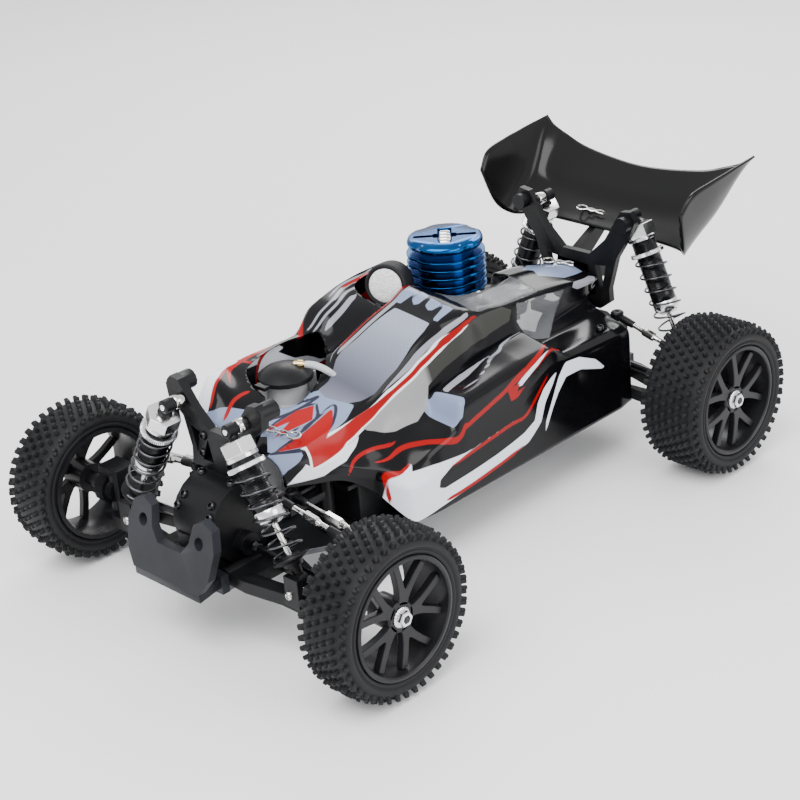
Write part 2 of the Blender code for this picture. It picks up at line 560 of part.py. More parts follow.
# ---- body shell and wing ------------------------------------------------------------------------
# Each section runs from the left lower edge over the top to the right lower edge: (x, z) points.
# The right side is taller because it covers the fuel tank.
SECTIONS = [
    (-128, [(23, 69), (23, 72), (22, 75), (21, 78), (19, 80.5), (15, 82.5), (0, 85), (-15, 86),
            (-22, 88), (-30, 91), (-40, 92), (-45, 86), (-44, 78)]),
    (-112, [(26, 65), (26, 68), (25, 71), (24, 74), (22, 78), (17, 84), (0, 87), (-15, 90),
            (-24, 95), (-36, 103), (-47, 107), (-53, 98), (-52, 84)]),
    (-98, [(29, 62), (29, 65), (28, 69), (27, 72), (24, 77), (18, 86), (0, 89), (-9, 90.5),
           (-26, 97), (-46, 104.5), (-50, 106), (-55, 95), (-54, 74)]),
    (-79, [(34, 49), (35, 56), (35, 62), (31, 67), (26, 75), (20, 90), (0, 92), (-6, 93),
           (-26, 98), (-46, 104), (-52, 105.5), (-56, 88), (-56, 58)]),
    (-66, [(51, 31), (50, 50), (43, 58), (35, 65), (26, 75), (20, 92), (0, 94.5), (-7, 95.5),
           (-26, 99), (-46, 104), (-52, 105), (-57, 82), (-57, 42)]),
    (-48, [(53, 31), (53, 52), (49, 65), (35, 71), (27, 78), (19, 99), (0, 102), (-18, 104),
           (-26, 101), (-38, 105), (-53, 105), (-57, 80), (-57, 40)]),
    (-33, [(53, 31), (53, 54), (51, 71), (33, 74), (28, 79), (18.5, 105.5), (0, 108), (-18.5, 110),
           (-26, 104), (-38, 116), (-54, 117), (-57, 80), (-57, 40)]),
    (-26, [(53, 31), (53, 55), (51.5, 84), (31, 85), (28, 81), (18, 109), (0, 111), (-18, 113),
           (-26, 106), (-40, 118), (-54, 119), (-57, 80), (-57, 40)]),
    (-8, [(53, 31), (53, 59), (51.5, 86), (30, 87.5), (27, 85), (18, 113.5), (0, 116), (-18, 118),
          (-22, 112), (-49, 120), (-54.5, 121.5), (-57, 80), (-57, 40)]),
    (9, [(53, 31), (53, 64), (51, 87), (29.5, 90), (27, 87), (22, 115), (0, 119), (-21, 121.5),
         (-24, 112), (-49, 121), (-54, 123), (-57, 80), (-57, 40)]),
    (24, [(53, 31), (53, 70), (51, 87.5), (29, 92), (27, 89), (21, 111), (4, 116), (2, 112),
          (-20, 100), (-50, 121), (-54, 123), (-57, 80), (-57, 40)]),
    (44, [(53, 31), (53, 78), (50, 87.5), (29, 93), (26, 90), (21, 107), (5, 112), (2, 110),
          (-20, 100), (-52, 92), (-55, 92), (-57, 78), (-57, 40)]),
    (56, [(53, 31), (53, 78), (49, 81.5), (32, 81), (25, 85), (20, 106), (5, 111), (2, 109),
          (-20, 100), (-52, 87), (-55, 86), (-57, 76), (-57, 40)]),
    (76, [(53, 31), (53, 77), (48, 80), (31, 81), (23, 87), (20, 104), (0, 109), (-20, 106),
          (-24, 90), (-34, 86), (-52, 86), (-57, 76), (-57, 40)]),
    (98, [(53, 31), (53, 76), (48, 79), (31, 82), (22, 88), (20, 101), (0, 106), (-20, 103),
          (-23, 90), (-32, 86), (-51, 84), (-56, 74), (-56, 40)]),
    (110, [(52, 32), (52, 75), (46, 78), (29, 83), (21, 89), (20, 98), (0, 103), (-20, 100),
           (-22, 91), (-30, 86), (-49, 82), (-55, 73), (-55, 41)]),
    (126, [None, None, None, None, (15, 90), (17, 94), (0, 99), (-17, 96), (-15, 92), None, None,
           None, None]),
]
TANK_OPENING = {(row, column) for row in (2, 3, 4) for column in (7, 8)}
ENGINE_OPENING = {(row, column) for row in (8, 9, 10, 11, 12) for column in (7, 8)}
SHELL_WALL = 1.2
WING_WALL = 1.5


def skin(name, rows, openings, wall):
    """A grid of points with openings, given a wall towards the inside."""
    points, index, faces = [], {}, []
    for r, row in enumerate(rows):
        for c, point in enumerate(row):
            if point is not None:
                index[r, c] = len(points)
                points.append(point)
    for r in range(len(rows) - 1):
        for c in range(len(rows[0]) - 1):
            corners = [(r, c), (r, c + 1), (r + 1, c + 1), (r + 1, c)]
            if (r, c) not in openings and all(k in index for k in corners):
                faces.append([index[k] for k in corners])
    used = sorted({i for f in faces for i in f})
    renumber = {old: new for new, old in enumerate(used)}
    made = solid(name, [points[i] for i in used], [[renumber[i] for i in f] for f in faces])
    thick = made.modifiers.new("Wall", "SOLIDIFY")
    thick.thickness = wall * MM
    thick.offset = -1
    return made


def make_shell():
    rows = [[None if p is None else (p[0], y, p[1]) for p in section] for y, section in SECTIONS]
    shell = skin("body_shell", rows, TANK_OPENING | ENGINE_OPENING, SHELL_WALL)
    combine(shell, [])
    finish(shell, "shell", smooth=False)


# Each chord station of the wing, front to rear, runs from the middle out to the top of an end plate.
WING_STATIONS = [
    [(0, 151.5, 113), (38, 151.5, 113), (56, 150, 112), (64, 144, 112.5), (69, 136, 121), (73, 129, 142)],
    [(0, 160, 116), (40, 160, 116.5), (58, 158, 117.5), (66, 154, 121), (70.5, 149, 132), (74.5, 138, 151.5)],
    [(0, 170, 120.5), (40, 170.5, 122), (58, 170, 124.5), (67, 168, 129), (72, 164, 140), (75.5, 156, 154.5)],
    [(0, 175.5, 128), (40, 176.5, 129.5), (59, 177, 132.5), (68, 176, 136), (72.5, 173, 144), (75.8, 167, 155.5)],
    [(0, 182, 134), (40, 183.5, 136.5), (60, 184.5, 141), (69, 184.5, 145), (73.5, 183, 150), (76, 179, 156.7)],
    [(0, 189, 140.6), (40, 191, 144), (60, 192.8, 149.5), (69.5, 193.8, 153), (73.5, 194.6, 155.6),
     (76.3, 195.4, 158.2)],
]


def make_wing():
    """Trough shaped wing: the blade curls up at its rear and flares into an end plate at each side."""
    rows = [[(-x, y, z) for x, y, z in station[:0:-1]] + station for station in WING_STATIONS]
    wing = skin("rear_wing", rows, set(), WING_WALL)
    finish(wing, "wing", smooth=False)


def build():
    for old in list(bpy.data.objects):
        bpy.data.objects.remove(old)
    make_chassis()
    make_gearboxes()
    make_towers()
    make_bumper()
    for end, a in AXLES.items():
        make_wheels(end, a)
        make_arm(end, a)
        make_camber_link(end, a)
        make_shock(end, a)
        make_drive_shaft(end, a)
    make_front_hub(AXLES["front"])
    make_rear_hub(AXLES["rear"])
    make_steering()
    make_drivetrain()
    make_engine()
    make_fuel_tank()
    make_radio_box()
    make_shell()
    make_wing()


build()
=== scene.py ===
# %% [markdown]
# # A nitro buggy, dressed for the studio
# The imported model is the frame: every body and every size comes from it. This lesson puts the looks on
# top, one piece or one finish at a time. The car faces -Y, its left side is +X, and it stands on z = 0.
# Lengths are written in millimetres and MM turns them into metres when a mesh is made.

# %% Load the frame
import json
import math

import bmesh
import bpy
import numpy as np
from mathutils import Matrix, Vector


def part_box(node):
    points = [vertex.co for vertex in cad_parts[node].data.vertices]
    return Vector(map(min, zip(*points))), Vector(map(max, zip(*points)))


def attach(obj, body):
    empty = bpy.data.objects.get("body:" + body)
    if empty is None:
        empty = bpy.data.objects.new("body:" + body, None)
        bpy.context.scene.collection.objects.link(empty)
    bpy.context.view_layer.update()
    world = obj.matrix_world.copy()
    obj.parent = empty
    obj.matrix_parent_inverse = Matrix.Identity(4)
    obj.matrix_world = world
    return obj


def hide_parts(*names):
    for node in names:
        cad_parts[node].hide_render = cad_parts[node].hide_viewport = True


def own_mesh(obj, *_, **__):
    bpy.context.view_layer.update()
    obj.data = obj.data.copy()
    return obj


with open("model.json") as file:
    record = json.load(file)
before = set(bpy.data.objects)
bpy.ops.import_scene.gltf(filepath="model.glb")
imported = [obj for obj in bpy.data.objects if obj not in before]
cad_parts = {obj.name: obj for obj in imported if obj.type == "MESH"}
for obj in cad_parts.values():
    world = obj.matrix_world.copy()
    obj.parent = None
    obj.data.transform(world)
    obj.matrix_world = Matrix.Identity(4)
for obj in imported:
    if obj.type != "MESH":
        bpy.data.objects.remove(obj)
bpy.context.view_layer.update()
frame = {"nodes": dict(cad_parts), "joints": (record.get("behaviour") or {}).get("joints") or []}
MM = 0.001
SIDES = (("left", 1), ("right", -1))
ENDS = ("front", "rear")
JOINTS = {joint["name"]: joint for joint in frame["joints"]}

# %% [markdown]
# ## Measures that come from the frame
# The wheels, hinge lines and shocks are already settled there. Reading them back keeps the dressed
# pieces on the frame if it is ever packed at another size.

# %% Read the measures back


def span(node):
    """Low and high corners of a CAD node, in millimetres."""
    low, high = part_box(node)
    return [value / MM for value in low], [value / MM for value in high]


def joint_at(name):
    return Vector(JOINTS[name]["pos_m"]) / MM


def wheel_measures(end):
    centre = joint_at(f"{end}_left_wheel_spin")
    rim_low, rim_high = span(f"{end}_left_rim")
    tyre_low, tyre_high = span(f"{end}_left_tyre")
    return {"centre": centre, "tip_r": (tyre_high[2] - tyre_low[2]) / 2,
            "tyre_half": (tyre_high[0] - tyre_low[0]) / 2, "rim_half": rim_high[0] - centre.x,
            "stub": rim_low[0] - centre.x}


WHEELS = {end: wheel_measures(end) for end in ENDS}
for end in ENDS:
    print(end, "wheel centre", [round(v, 1) for v in WHEELS[end]["centre"]])

# %% [markdown]
# ## Meshes
# Most of this car is turned or moulded. Turned parts can be a Screw modifier, a curve with a bevel, or
# points placed by hand in rings. Rings are used here because they close their own poles and always come
# out the right way round. Moulded parts start from a rings mesh, an outline pushed along an axis, or a
# copy of the frame's own solid with its edges broken by a Bevel, which is what a mould does.

# %% Mesh helpers
PIECES = {}


def new_object(name, data):
    made = bpy.data.objects.new(name, data)
    bpy.context.collection.objects.link(made)
    return made


def shade(mesh, sharp_angle):
    """Smooth, except across edges sharper than an angle in degrees."""
    mesh.shade_smooth()
    mesh.set_sharp_from_angle(angle=math.radians(sharp_angle))


def add_piece(name, points, faces, finish, smooth=40):
    """A mesh object at the origin from points in millimetres."""
    mesh = bpy.data.meshes.new(name)
    mesh.from_pydata([tuple(Vector(p) * MM) for p in points], [], faces)
    made = new_object(name, mesh)
    dress(made, finish, smooth)
    return made


def dress(made, finish, smooth=40):
    """One finish all over, smooth except across sharp edges, and faces pointing out."""
    mesh = made.data
    mesh.materials.clear()
    mesh.materials.append(finish)
    work = bmesh.new()
    work.from_mesh(mesh)
    bmesh.ops.recalc_face_normals(work, faces=work.faces)
    for face in work.faces:
        face.material_index = 0
    work.to_mesh(mesh)
    work.free()
    shade(mesh, smooth)
    return made


print("dressing helpers ready")

# %% [markdown]
# A turned part is a profile of (along, radius) pairs taken round a line. Where the profile starts and
# ends at radius 0 the solid closes at its poles, and otherwise it closes on itself as a ring. A wobble
# lets the radius follow the angle, which makes knurls and serrations.

# %% Turned shapes


def square_to(direction):
    """Two unit vectors square to a direction and to each other."""
    direction = Vector(direction).normalized()
    side = direction.cross(Vector((0, 0, 1)))
    side = side.normalized() if side.length > 0.01 else Vector((1, 0, 0))
    return direction, side, direction.cross(side)


def rings(profile, start, direction, steps=64, wobble=None):
    """Points and faces turned about a line from (along, radius) pairs; radius 0 closes an end."""
    direction, side, other = square_to(direction)
    start = Vector(start)
    points, loops = [], []
    for along, radius in profile:
        count = 1 if radius == 0 else steps
        loops.append(list(range(len(points), len(points) + count)))
        for k in range(count):
            turn = 2 * math.pi * k / steps
            reach = radius * (wobble(turn, along) if wobble and radius else 1)
            points.append(start + direction * along
                          + (side * math.cos(turn) + other * math.sin(turn)) * reach)
    ring_shaped = profile[0][1] != 0
    pairs = list(zip(loops, loops[1:] + loops[:1]))
    faces = []
    for a, b in pairs if ring_shaped else pairs[:-1]:
        for k in range(steps):
            n = (k + 1) % steps
            if len(a) == 1:
                faces.append((a[0], b[n], b[k]))
            elif len(b) == 1:
                faces.append((a[k], a[n], b[0]))
            else:
                faces.append((a[k], a[n], b[n], b[k]))
    return points, faces


def turned(name, profile, start, direction, finish, steps=64, wobble=None, smooth=40):
    return add_piece(name, *rings(profile, start, direction, steps, wobble), finish, smooth)


def rounded(profile, cut=0.25, times=2):
    """Cuts the corners of an open run of points."""
    for _ in range(times):
        new = [profile[0]]
        for a, b in zip(profile, profile[1:]):
            new.append(tuple(p + (q - p) * cut for p, q in zip(a, b)))
            new.append(tuple(q + (p - q) * cut for p, q in zip(a, b)))
        profile = new + [profile[-1]]
    return profile


def joined(name, parts):
    """One object from several, each with its own finish."""
    work = bmesh.new()
    finishes = []
    for part in parts:
        for material in part.data.materials:
            if material not in finishes:
                finishes.append(material)
        first = len(work.faces)
        work.from_mesh(part.data)
        work.faces.ensure_lookup_table()
        index = finishes.index(part.data.materials[0])
        for face in work.faces[first:]:
            face.material_index = index
    mesh = bpy.data.meshes.new(name)
    work.to_mesh(mesh)
    work.free()
    for material in finishes:
        mesh.materials.append(material)
    for part in parts:
        bpy.data.objects.remove(part)
    return new_object(name, mesh)


print("turning ready")

# %% [markdown]
# The other half of the parts are outlines pushed along an axis, or copies of the frame's own solids.
# Both get a small Bevel, because no real edge is perfectly sharp.

# %% Pushed shapes, copies and twins


def pushed(name, outline, axis, low, high, finish, edge=0.0):
    """An outline of (u, v) points pushed along an axis, with its edges broken if edge is given."""
    order = {"x": lambda u, v, w: (w, u, v), "y": lambda u, v, w: (u, w, v), "z": lambda u, v, w: (u, v, w)}
    place = order[axis]
    n = len(outline)
    points = [place(u, v, low) for u, v in outline] + [place(u, v, high) for u, v in outline]
    faces = [tuple(range(n)), tuple(range(n, 2 * n))[::-1]]
    faces += [(i, n + i, n + (i + 1) % n, (i + 1) % n) for i in range(n)]
    made = add_piece(name, points, faces, finish, 35)
    return broken_edges(made, edge) if edge else made


def apply_modifiers(made):
    """Turns what the modifiers make into the piece's own mesh."""
    bpy.context.view_layer.update()
    depsgraph = bpy.context.evaluated_depsgraph_get()
    mesh = bpy.data.meshes.new_from_object(made.evaluated_get(depsgraph))
    made.modifiers.clear()
    made.data = mesh
    return made


def broken_edges(made, width, segments=2, angle=32):
    bevel = made.modifiers.new("Broken edges", "BEVEL")
    bevel.width = width * MM
    bevel.segments = segments
    bevel.limit_method = "ANGLE"
    bevel.angle_limit = math.radians(angle)
    bevel.harden_normals = True
    bevel.miter_outer = "MITER_ARC"
    return apply_modifiers(made)


def moulded_copy(node, finish, edge=0.6, suffix="moulding"):
    """A frame solid again, with flat faces whole and its edges broken as a mould leaves them."""
    source = frame["nodes"][node]
    made = new_object(f"{node}_{suffix}", source.data.copy())
    work = bmesh.new()
    work.from_mesh(made.data)
    bmesh.ops.remove_doubles(work, verts=work.verts, dist=0.02 * MM)
    bmesh.ops.dissolve_limit(work, angle_limit=math.radians(1.0), verts=work.verts, edges=work.edges)
    bmesh.ops.recalc_face_normals(work, faces=work.faces)
    work.to_mesh(made.data)
    work.free()
    made.data.materials.clear()
    made.data.materials.append(finish)
    shade(made.data, 30)
    return broken_edges(made, edge)


def twin(made, name):
    """The same piece for the car's other side."""
    mesh = made.data.copy()
    mesh.transform(Matrix.Scale(-1, 4, (1, 0, 0)))
    mesh.flip_normals()
    return new_object(name, mesh)


def fit(made, body, slot, *nodes):
    """Rides a finished piece on its body and hides the solids it stands for. The slot is not used."""
    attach(made, body)
    if nodes:
        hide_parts(*nodes)
    PIECES[made.name] = len(made.data.polygons)
    return made


print("pushing and copying ready")

# %% [markdown]
# Clips and tubes are a circle carried along a smooth path. A curve object with a bevel would do it too,
# but here the frame of the circle is carried by hand, so that it never twists.

# %% Wires and curves


def swept(name, path, radius, finish, sides=12, closed=False):
    """A round wire or tube along points in millimetres."""
    path = [Vector(p) for p in path]
    count = len(path)
    points, faces = [], []
    normal = None
    for i, here in enumerate(path):
        ahead = path[(i + 1) % count] if closed or i + 1 < count else here
        behind = path[i - 1] if closed or i else here
        tangent = (ahead - behind).normalized()
        if normal is None:
            normal = square_to(tangent)[1]
        normal = (normal - tangent * normal.dot(tangent)).normalized()
        across = tangent.cross(normal)
        for s in range(sides):
            turn = 2 * math.pi * s / sides
            points.append(here + (normal * math.cos(turn) + across * math.sin(turn)) * radius)
    for i in range(count if closed else count - 1):
        a, b = i * sides, ((i + 1) % count) * sides
        faces += [(a + s, a + (s + 1) % sides, b + (s + 1) % sides, b + s) for s in range(sides)]
    if not closed:
        faces += [tuple(range(sides))[::-1], tuple((count - 1) * sides + s for s in range(sides))]
    return add_piece(name, points, faces, finish)


def spline(a, b, c, d, t):
    """A point of the Catmull-Rom curve from b to c."""
    return 0.5 * (2 * b + (c - a) * t + (2 * a - 5 * b + 4 * c - d) * t * t
                  + (3 * b - a - 3 * c + d) * t ** 3)


def smooth_path(points, per_span=8):
    """A Catmull-Rom curve through a few points."""
    points = [Vector(p) for p in points]
    ends = [points[0] * 2 - points[1]] + points + [points[-1] * 2 - points[-2]]
    out = []
    for i in range(1, len(ends) - 2):
        a, b, c, d = ends[i - 1:i + 3]
        for k in range(per_span):
            out.append(spline(a, b, c, d, k / per_span))
    return out + [points[-1]]


print("wires and curves ready")

# %% [markdown]
# ## Finishes as sums
# A finish is a network of nodes, which is hard to read when it is wired one link at a time. Here a small
# class holds a socket and gives it plus, minus and times, so a finish reads like a sum. Every other node
# comes from one method. Patterns use Object coordinates, which stay with a piece when it moves.

# %% Shader helper


class Flow:
    """A socket in a finish, with arithmetic."""

    def __init__(self, mix, socket):
        self.mix = mix
        self.socket = socket

    def _math(self, operation, *values, clamp=False):
        return self.mix.node("ShaderNodeMath", {"operation": operation, "use_clamp": clamp},
                             dict(enumerate(values)))

    def __add__(self, other):
        return self._math("ADD", self, other)

    __radd__ = __add__

    def __sub__(self, other):
        return self._math("SUBTRACT", self, other)

    def __rsub__(self, other):
        return self._math("SUBTRACT", other, self)

    def __mul__(self, other):
        return self._math("MULTIPLY", self, other)

    __rmul__ = __mul__

    def wave(self):
        return self._math("SINE", self)

    def fold(self):
        return self._math("ABSOLUTE", self)

    def clamp(self):
        return self._math("ADD", self, 0.0, clamp=True)

    def above(self, edge, soft):
        """0 below edge and 1 above it, over a soft step."""
        return self._math("MULTIPLY_ADD", self, 1.0 / soft, 0.5 - edge / soft, clamp=True)

    def out(self, name):
        return Flow(self.mix, self.socket.node.outputs[name])


print("sums ready")

# %% [markdown]
# A finish is one Principled BSDF. Constants go straight on its sockets, and only what varies over the
# surface gets nodes.

# %% A finish and its nodes


class Finish:
    """A material whose shader is a Principled BSDF."""

    def __init__(self, name, colour, roughness, metallic=0.0, **constants):
        self.material = bpy.data.materials.new(name)
        self.material.use_nodes = True
        self.tree = self.material.node_tree
        self.shader = self.tree.nodes["Principled BSDF"]
        self.colour = (*colour, 1.0)
        self.shader.inputs["Base Color"].default_value = self.colour
        self.shader.inputs["Roughness"].default_value = roughness
        self.shader.inputs["Metallic"].default_value = metallic
        for key, value in constants.items():
            self.shader.inputs[key.replace("_", " ").title().replace("Ior", "IOR")].default_value = value

    def node(self, kind, settings=None, values=None):
        made = self.tree.nodes.new(kind)
        for key, value in (settings or {}).items():
            setattr(made, key, value)
        for key, value in (values or {}).items():
            if isinstance(value, Flow):
                self.tree.links.new(value.socket, made.inputs[key])
            else:
                made.inputs[key].default_value = value
        outputs = [socket for socket in made.outputs if socket.enabled]
        return Flow(self, outputs[0])

    def place(self):
        return self.node("ShaderNodeTexCoord").out("Object")

    def xyz(self):
        split = self.node("ShaderNodeSeparateXYZ", values={0: self.place()})
        return split.out("X"), split.out("Y"), split.out("Z")

    def noise(self, scale, detail=3.0, roughness=0.55, stretch=None):
        where = self.place()
        if stretch:
            where = self.node("ShaderNodeMapping", values={"Vector": where, "Scale": stretch})
        return self.node("ShaderNodeTexNoise", values={"Vector": where, "Scale": scale, "Detail": detail,
                                                       "Roughness": roughness}).out("Fac")

    def attribute(self, name):
        return self.node("ShaderNodeAttribute", {"attribute_name": name}).out("Fac")

    def blend(self, mask, a, b):
        """Colour a where the mask is 0 and b where it is 1."""
        values = {0: mask}
        for key, value in ((6, a), (7, b)):
            values[key] = value if isinstance(value, Flow) else (*value[:3], 1.0)
        return self.node("ShaderNodeMix", {"data_type": "RGBA"}, values)

    def set(self, socket, value):
        self.tree.links.new(value.socket, self.shader.inputs[socket])

    def bump(self, height, depth_mm):
        self.set("Normal", self.node("ShaderNodeBump", values={"Height": height, "Distance": depth_mm * MM,
                                                               "Strength": 1.0}))


print("shader helper ready")

# %% [markdown]
# ## Plain finishes
# The running gear is glass-filled nylon: nearly black, satin, with the fine grain of a spark-eroded
# mould and faint flow patches. Grain could be real geometry, but at a few hundredths of a millimetre a
# Bump node does it. Metals vary in roughness instead of in colour, which is how machining shows.

# %% Mix the plain finishes


def nylon(name, colour, roughness, grain=0.05):
    mix = Finish(name, colour, roughness, specular_ior_level=0.2)
    patches = mix.noise(55.0, 2.0)
    fine = mix.noise(2600.0, 2.0)
    lighter = tuple(value * 1.7 + 0.002 for value in colour)
    mix.set("Base Color", mix.blend(patches.above(0.55, 0.5), colour, lighter))
    mix.set("Roughness", patches * 0.16 + fine * 0.10 + (roughness - 0.13))
    mix.bump(fine, grain)
    return mix.material


def metal(name, colour, roughness, lines=None):
    """Bare metal, with the noise stretched by lines as turning or drawing marks are."""
    mix = Finish(name, colour, roughness, metallic=1.0)
    marks = mix.noise(420.0, 3.0, stretch=lines or (1.0, 1.0, 1.0))
    smears = mix.noise(45.0, 2.0)
    mix.set("Roughness", marks * 0.12 + smears * 0.14 + (roughness - 0.13))
    darker = tuple(value * 0.8 for value in colour)
    mix.set("Base Color", mix.blend(smears.above(0.5, 0.6), colour, darker))
    mix.bump(marks, 0.01)
    return mix.material


def gloss_enamel(name, colour, roughness=0.18):
    mix = Finish(name, colour, roughness, specular_ior_level=0.25)
    ripple = mix.noise(160.0, 1.0)
    mix.set("Roughness", mix.noise(30.0) * 0.14 + (roughness - 0.07))
    mix.bump(ripple, 0.012)
    return mix.material


NYLON = nylon("Black nylon", (0.0032, 0.0033, 0.004), 0.38)
NYLON_GREY = nylon("Dark grey nylon", (0.011, 0.012, 0.015), 0.38)
PLATE_ALLOY = metal("Hard anodised plate", (0.16, 0.165, 0.18), 0.38, lines=(1.0, 0.05, 1.0))
ALLOY = metal("Turned alloy", (0.86, 0.86, 0.88), 0.22, lines=(1.0, 1.0, 9.0))
CHROME = metal("Plated steel", (0.74, 0.73, 0.71), 0.14, lines=(0.05, 1.0, 1.0))
DARK_STEEL = metal("Blackened steel", (0.05, 0.05, 0.055), 0.30)
SPRING_WIRE = metal("Spring wire", (0.10, 0.10, 0.11), 0.24)
BRASS = metal("Brass", (0.78, 0.58, 0.26), 0.22)
CAST = metal("Bead-blasted casting", (0.62, 0.62, 0.64), 0.48)
BLACK_ENAMEL = gloss_enamel("Black enamel", (0.004, 0.004, 0.005))
print("plain finishes:", len(bpy.data.materials))

# %% [markdown]
# ## Rubber, foam, clear and coloured finishes
# The tyre's rubber is matt with a bluish bloom on its pins, where the mould released it. The cooling
# head is dyed anodising: a strong blue metal, in cloudy patches of lighter and darker blue. Tubing and
# the fuel tank are see-through, so their Alpha is low and their shine is kept.

# %% Mix the special finishes


def tyre_rubber():
    mix = Finish("Tyre rubber", (0.006, 0.006, 0.007), 0.6, specular_ior_level=0.22)
    bloom = mix.noise(38.0, 3.0)
    fine = mix.noise(1900.0, 2.0)
    mix.set("Base Color", mix.blend(bloom.above(0.52, 0.45), (0.005, 0.005, 0.0055), (0.013, 0.0135, 0.016)))
    mix.set("Roughness", bloom * 0.2 + fine * 0.12 + 0.44)
    mix.bump(fine, 0.07)
    return mix.material


def filter_foam():
    mix = Finish("Filter foam", (0.85, 0.85, 0.86), 0.9)
    cells = mix.node("ShaderNodeTexVoronoi", {"feature": "F1"}, {"Vector": mix.place(), "Scale": 900.0})
    mix.set("Base Color", mix.blend(cells.above(0.45, 0.5), (0.9, 0.9, 0.91), (0.66, 0.66, 0.68)))
    mix.bump(cells, 0.25)
    return mix.material


def blue_anodising():
    mix = Finish("Blue anodising", (0.01, 0.12, 0.42), 0.24, 1.0)
    lathe_marks = mix.noise(260.0, 2.0, stretch=(1.0, 1.0, 14.0))
    cloud = mix.noise(60.0)
    mix.set("Base Color", mix.blend(cloud.above(0.5, 0.7), (0.004, 0.055, 0.19), (0.01, 0.09, 0.27)))
    mix.set("Roughness", lathe_marks * 0.14 + 0.13)
    mix.bump(lathe_marks, 0.012)
    return mix.material


def clear_plastic(name, colour, alpha, roughness=0.12):
    mix = Finish(name, colour, roughness)
    haze = mix.noise(70.0)
    mix.set("Alpha", haze * 0.16 + (alpha - 0.08))
    mix.set("Roughness", haze * 0.12 + (roughness - 0.05))
    return mix.material


RUBBER = tyre_rubber()
FOAM = filter_foam()
BLUE = blue_anodising()
CLEAR_TUBE = clear_plastic("Silicone tube", (0.72, 0.76, 0.80), 0.55, 0.2)
TANK = clear_plastic("Milky tank", (0.42, 0.43, 0.45), 0.86, 0.3)
print("finishes:", len(bpy.data.materials))

# %% [markdown]
# ## Copies placed by Geometry Nodes
# A tyre has hundreds of pins and the car has dozens of screws. Each could be duplicated in a loop, but
# a Geometry Nodes tree says it once: put a template on every point, turn it to face along the point's
# own direction, vary its size a little from a fixed seed, make the copies real and give them a finish.

# %% Build the placing tree


def new_tree(name, inputs, output):
    """A Geometry Nodes tree with named (name, kind, default) inputs; returns it and its inputs."""
    tree = bpy.data.node_groups.new(name, "GeometryNodeTree")
    for label, kind, default in inputs:
        socket = tree.interface.new_socket(label, in_out="INPUT", socket_type=f"NodeSocket{kind}")
        if default is not None:
            socket.default_value = default
    tree.interface.new_socket(output, in_out="OUTPUT", socket_type="NodeSocketGeometry")
    return tree, tree.nodes.new("NodeGroupInput").outputs


def tree_node(tree, kind, values, **settings):
    """One node with its settings and its inputs, each a constant or another node's output."""
    made = tree.nodes.new(kind)
    for key, value in settings.items():
        setattr(made, key, value)
    for key, value in values.items():
        if isinstance(value, bpy.types.NodeSocket):
            tree.links.new(value, made.inputs[key])
        else:
            made.inputs[key].default_value = value
    return made.outputs


def painted_output(tree, geometry, finish):
    """Real geometry in one finish, sent out of the tree."""
    real = tree_node(tree, "GeometryNodeRealizeInstances", {"Geometry": geometry})
    painted = tree_node(tree, "GeometryNodeSetMaterial", {"Geometry": real["Geometry"], "Material": finish})
    tree_node(tree, "NodeGroupOutput", {0: painted["Geometry"]})


def placing_tree():
    tree, given = new_tree("Place on points", (
        ("Points", "Geometry", None), ("Template", "Object", None), ("Finish", "Material", None),
        ("Size jitter", "Float", 0.0), ("Turn jitter", "Float", 0.0), ("Seed", "Int", 7)), "Copies")
    facing = tree_node(tree, "GeometryNodeInputNamedAttribute", {"Name": "facing"}, data_type="FLOAT_VECTOR")
    aim = tree_node(tree, "FunctionNodeAlignRotationToVector", {"Vector": facing["Attribute"]}, axis="Z")
    least_turn = tree_node(tree, "ShaderNodeMath", {0: given["Turn jitter"], 1: -1.0}, operation="MULTIPLY")
    turn = tree_node(tree, "FunctionNodeRandomValue",
                     {2: least_turn[0], 3: given["Turn jitter"], "Seed": given["Seed"]}, data_type="FLOAT")
    about = tree_node(tree, "FunctionNodeAxisAngleToRotation", {"Angle": turn[1]})
    spin = tree_node(tree, "FunctionNodeRotateRotation",
                     {"Rotation": aim["Rotation"], "Rotate By": about["Rotation"]}, rotation_space="LOCAL")
    least_size = tree_node(tree, "ShaderNodeMath", {0: 1.0, 1: given["Size jitter"]}, operation="SUBTRACT")
    size = tree_node(tree, "FunctionNodeRandomValue",
                     {2: least_size[0], 3: 1.0, "Seed": given["Seed"]}, data_type="FLOAT")
    template_in = tree_node(tree, "GeometryNodeObjectInfo", {"Object": given["Template"]})
    copies = tree_node(tree, "GeometryNodeInstanceOnPoints", {
        "Points": given["Points"], "Instance": template_in["Geometry"], "Rotation": spin["Rotation"],
        "Scale": size[1]})
    painted_output(tree, copies["Instances"], given["Finish"])
    return tree


PLACING = placing_tree()


print("placing tree built")

# %% [markdown]
# A tree is used like a tool: it is put on an object as a modifier, its inputs are set by name, and the
# mesh it makes replaces the object's own.

# %% Use a tree


def use_tree(made, tree, **values):
    """Adds a tree to an object, sets its inputs by identifier and keeps the mesh it makes."""
    modifier = made.modifiers.new(tree.name, "NODES")
    modifier.node_group = tree
    sockets = {item.name: item for item in tree.interface.items_tree if item.in_out == "INPUT"}
    for name, value in values.items():
        modifier[sockets[name.replace("_", " ").capitalize()].identifier] = value
    return apply_modifiers(made)


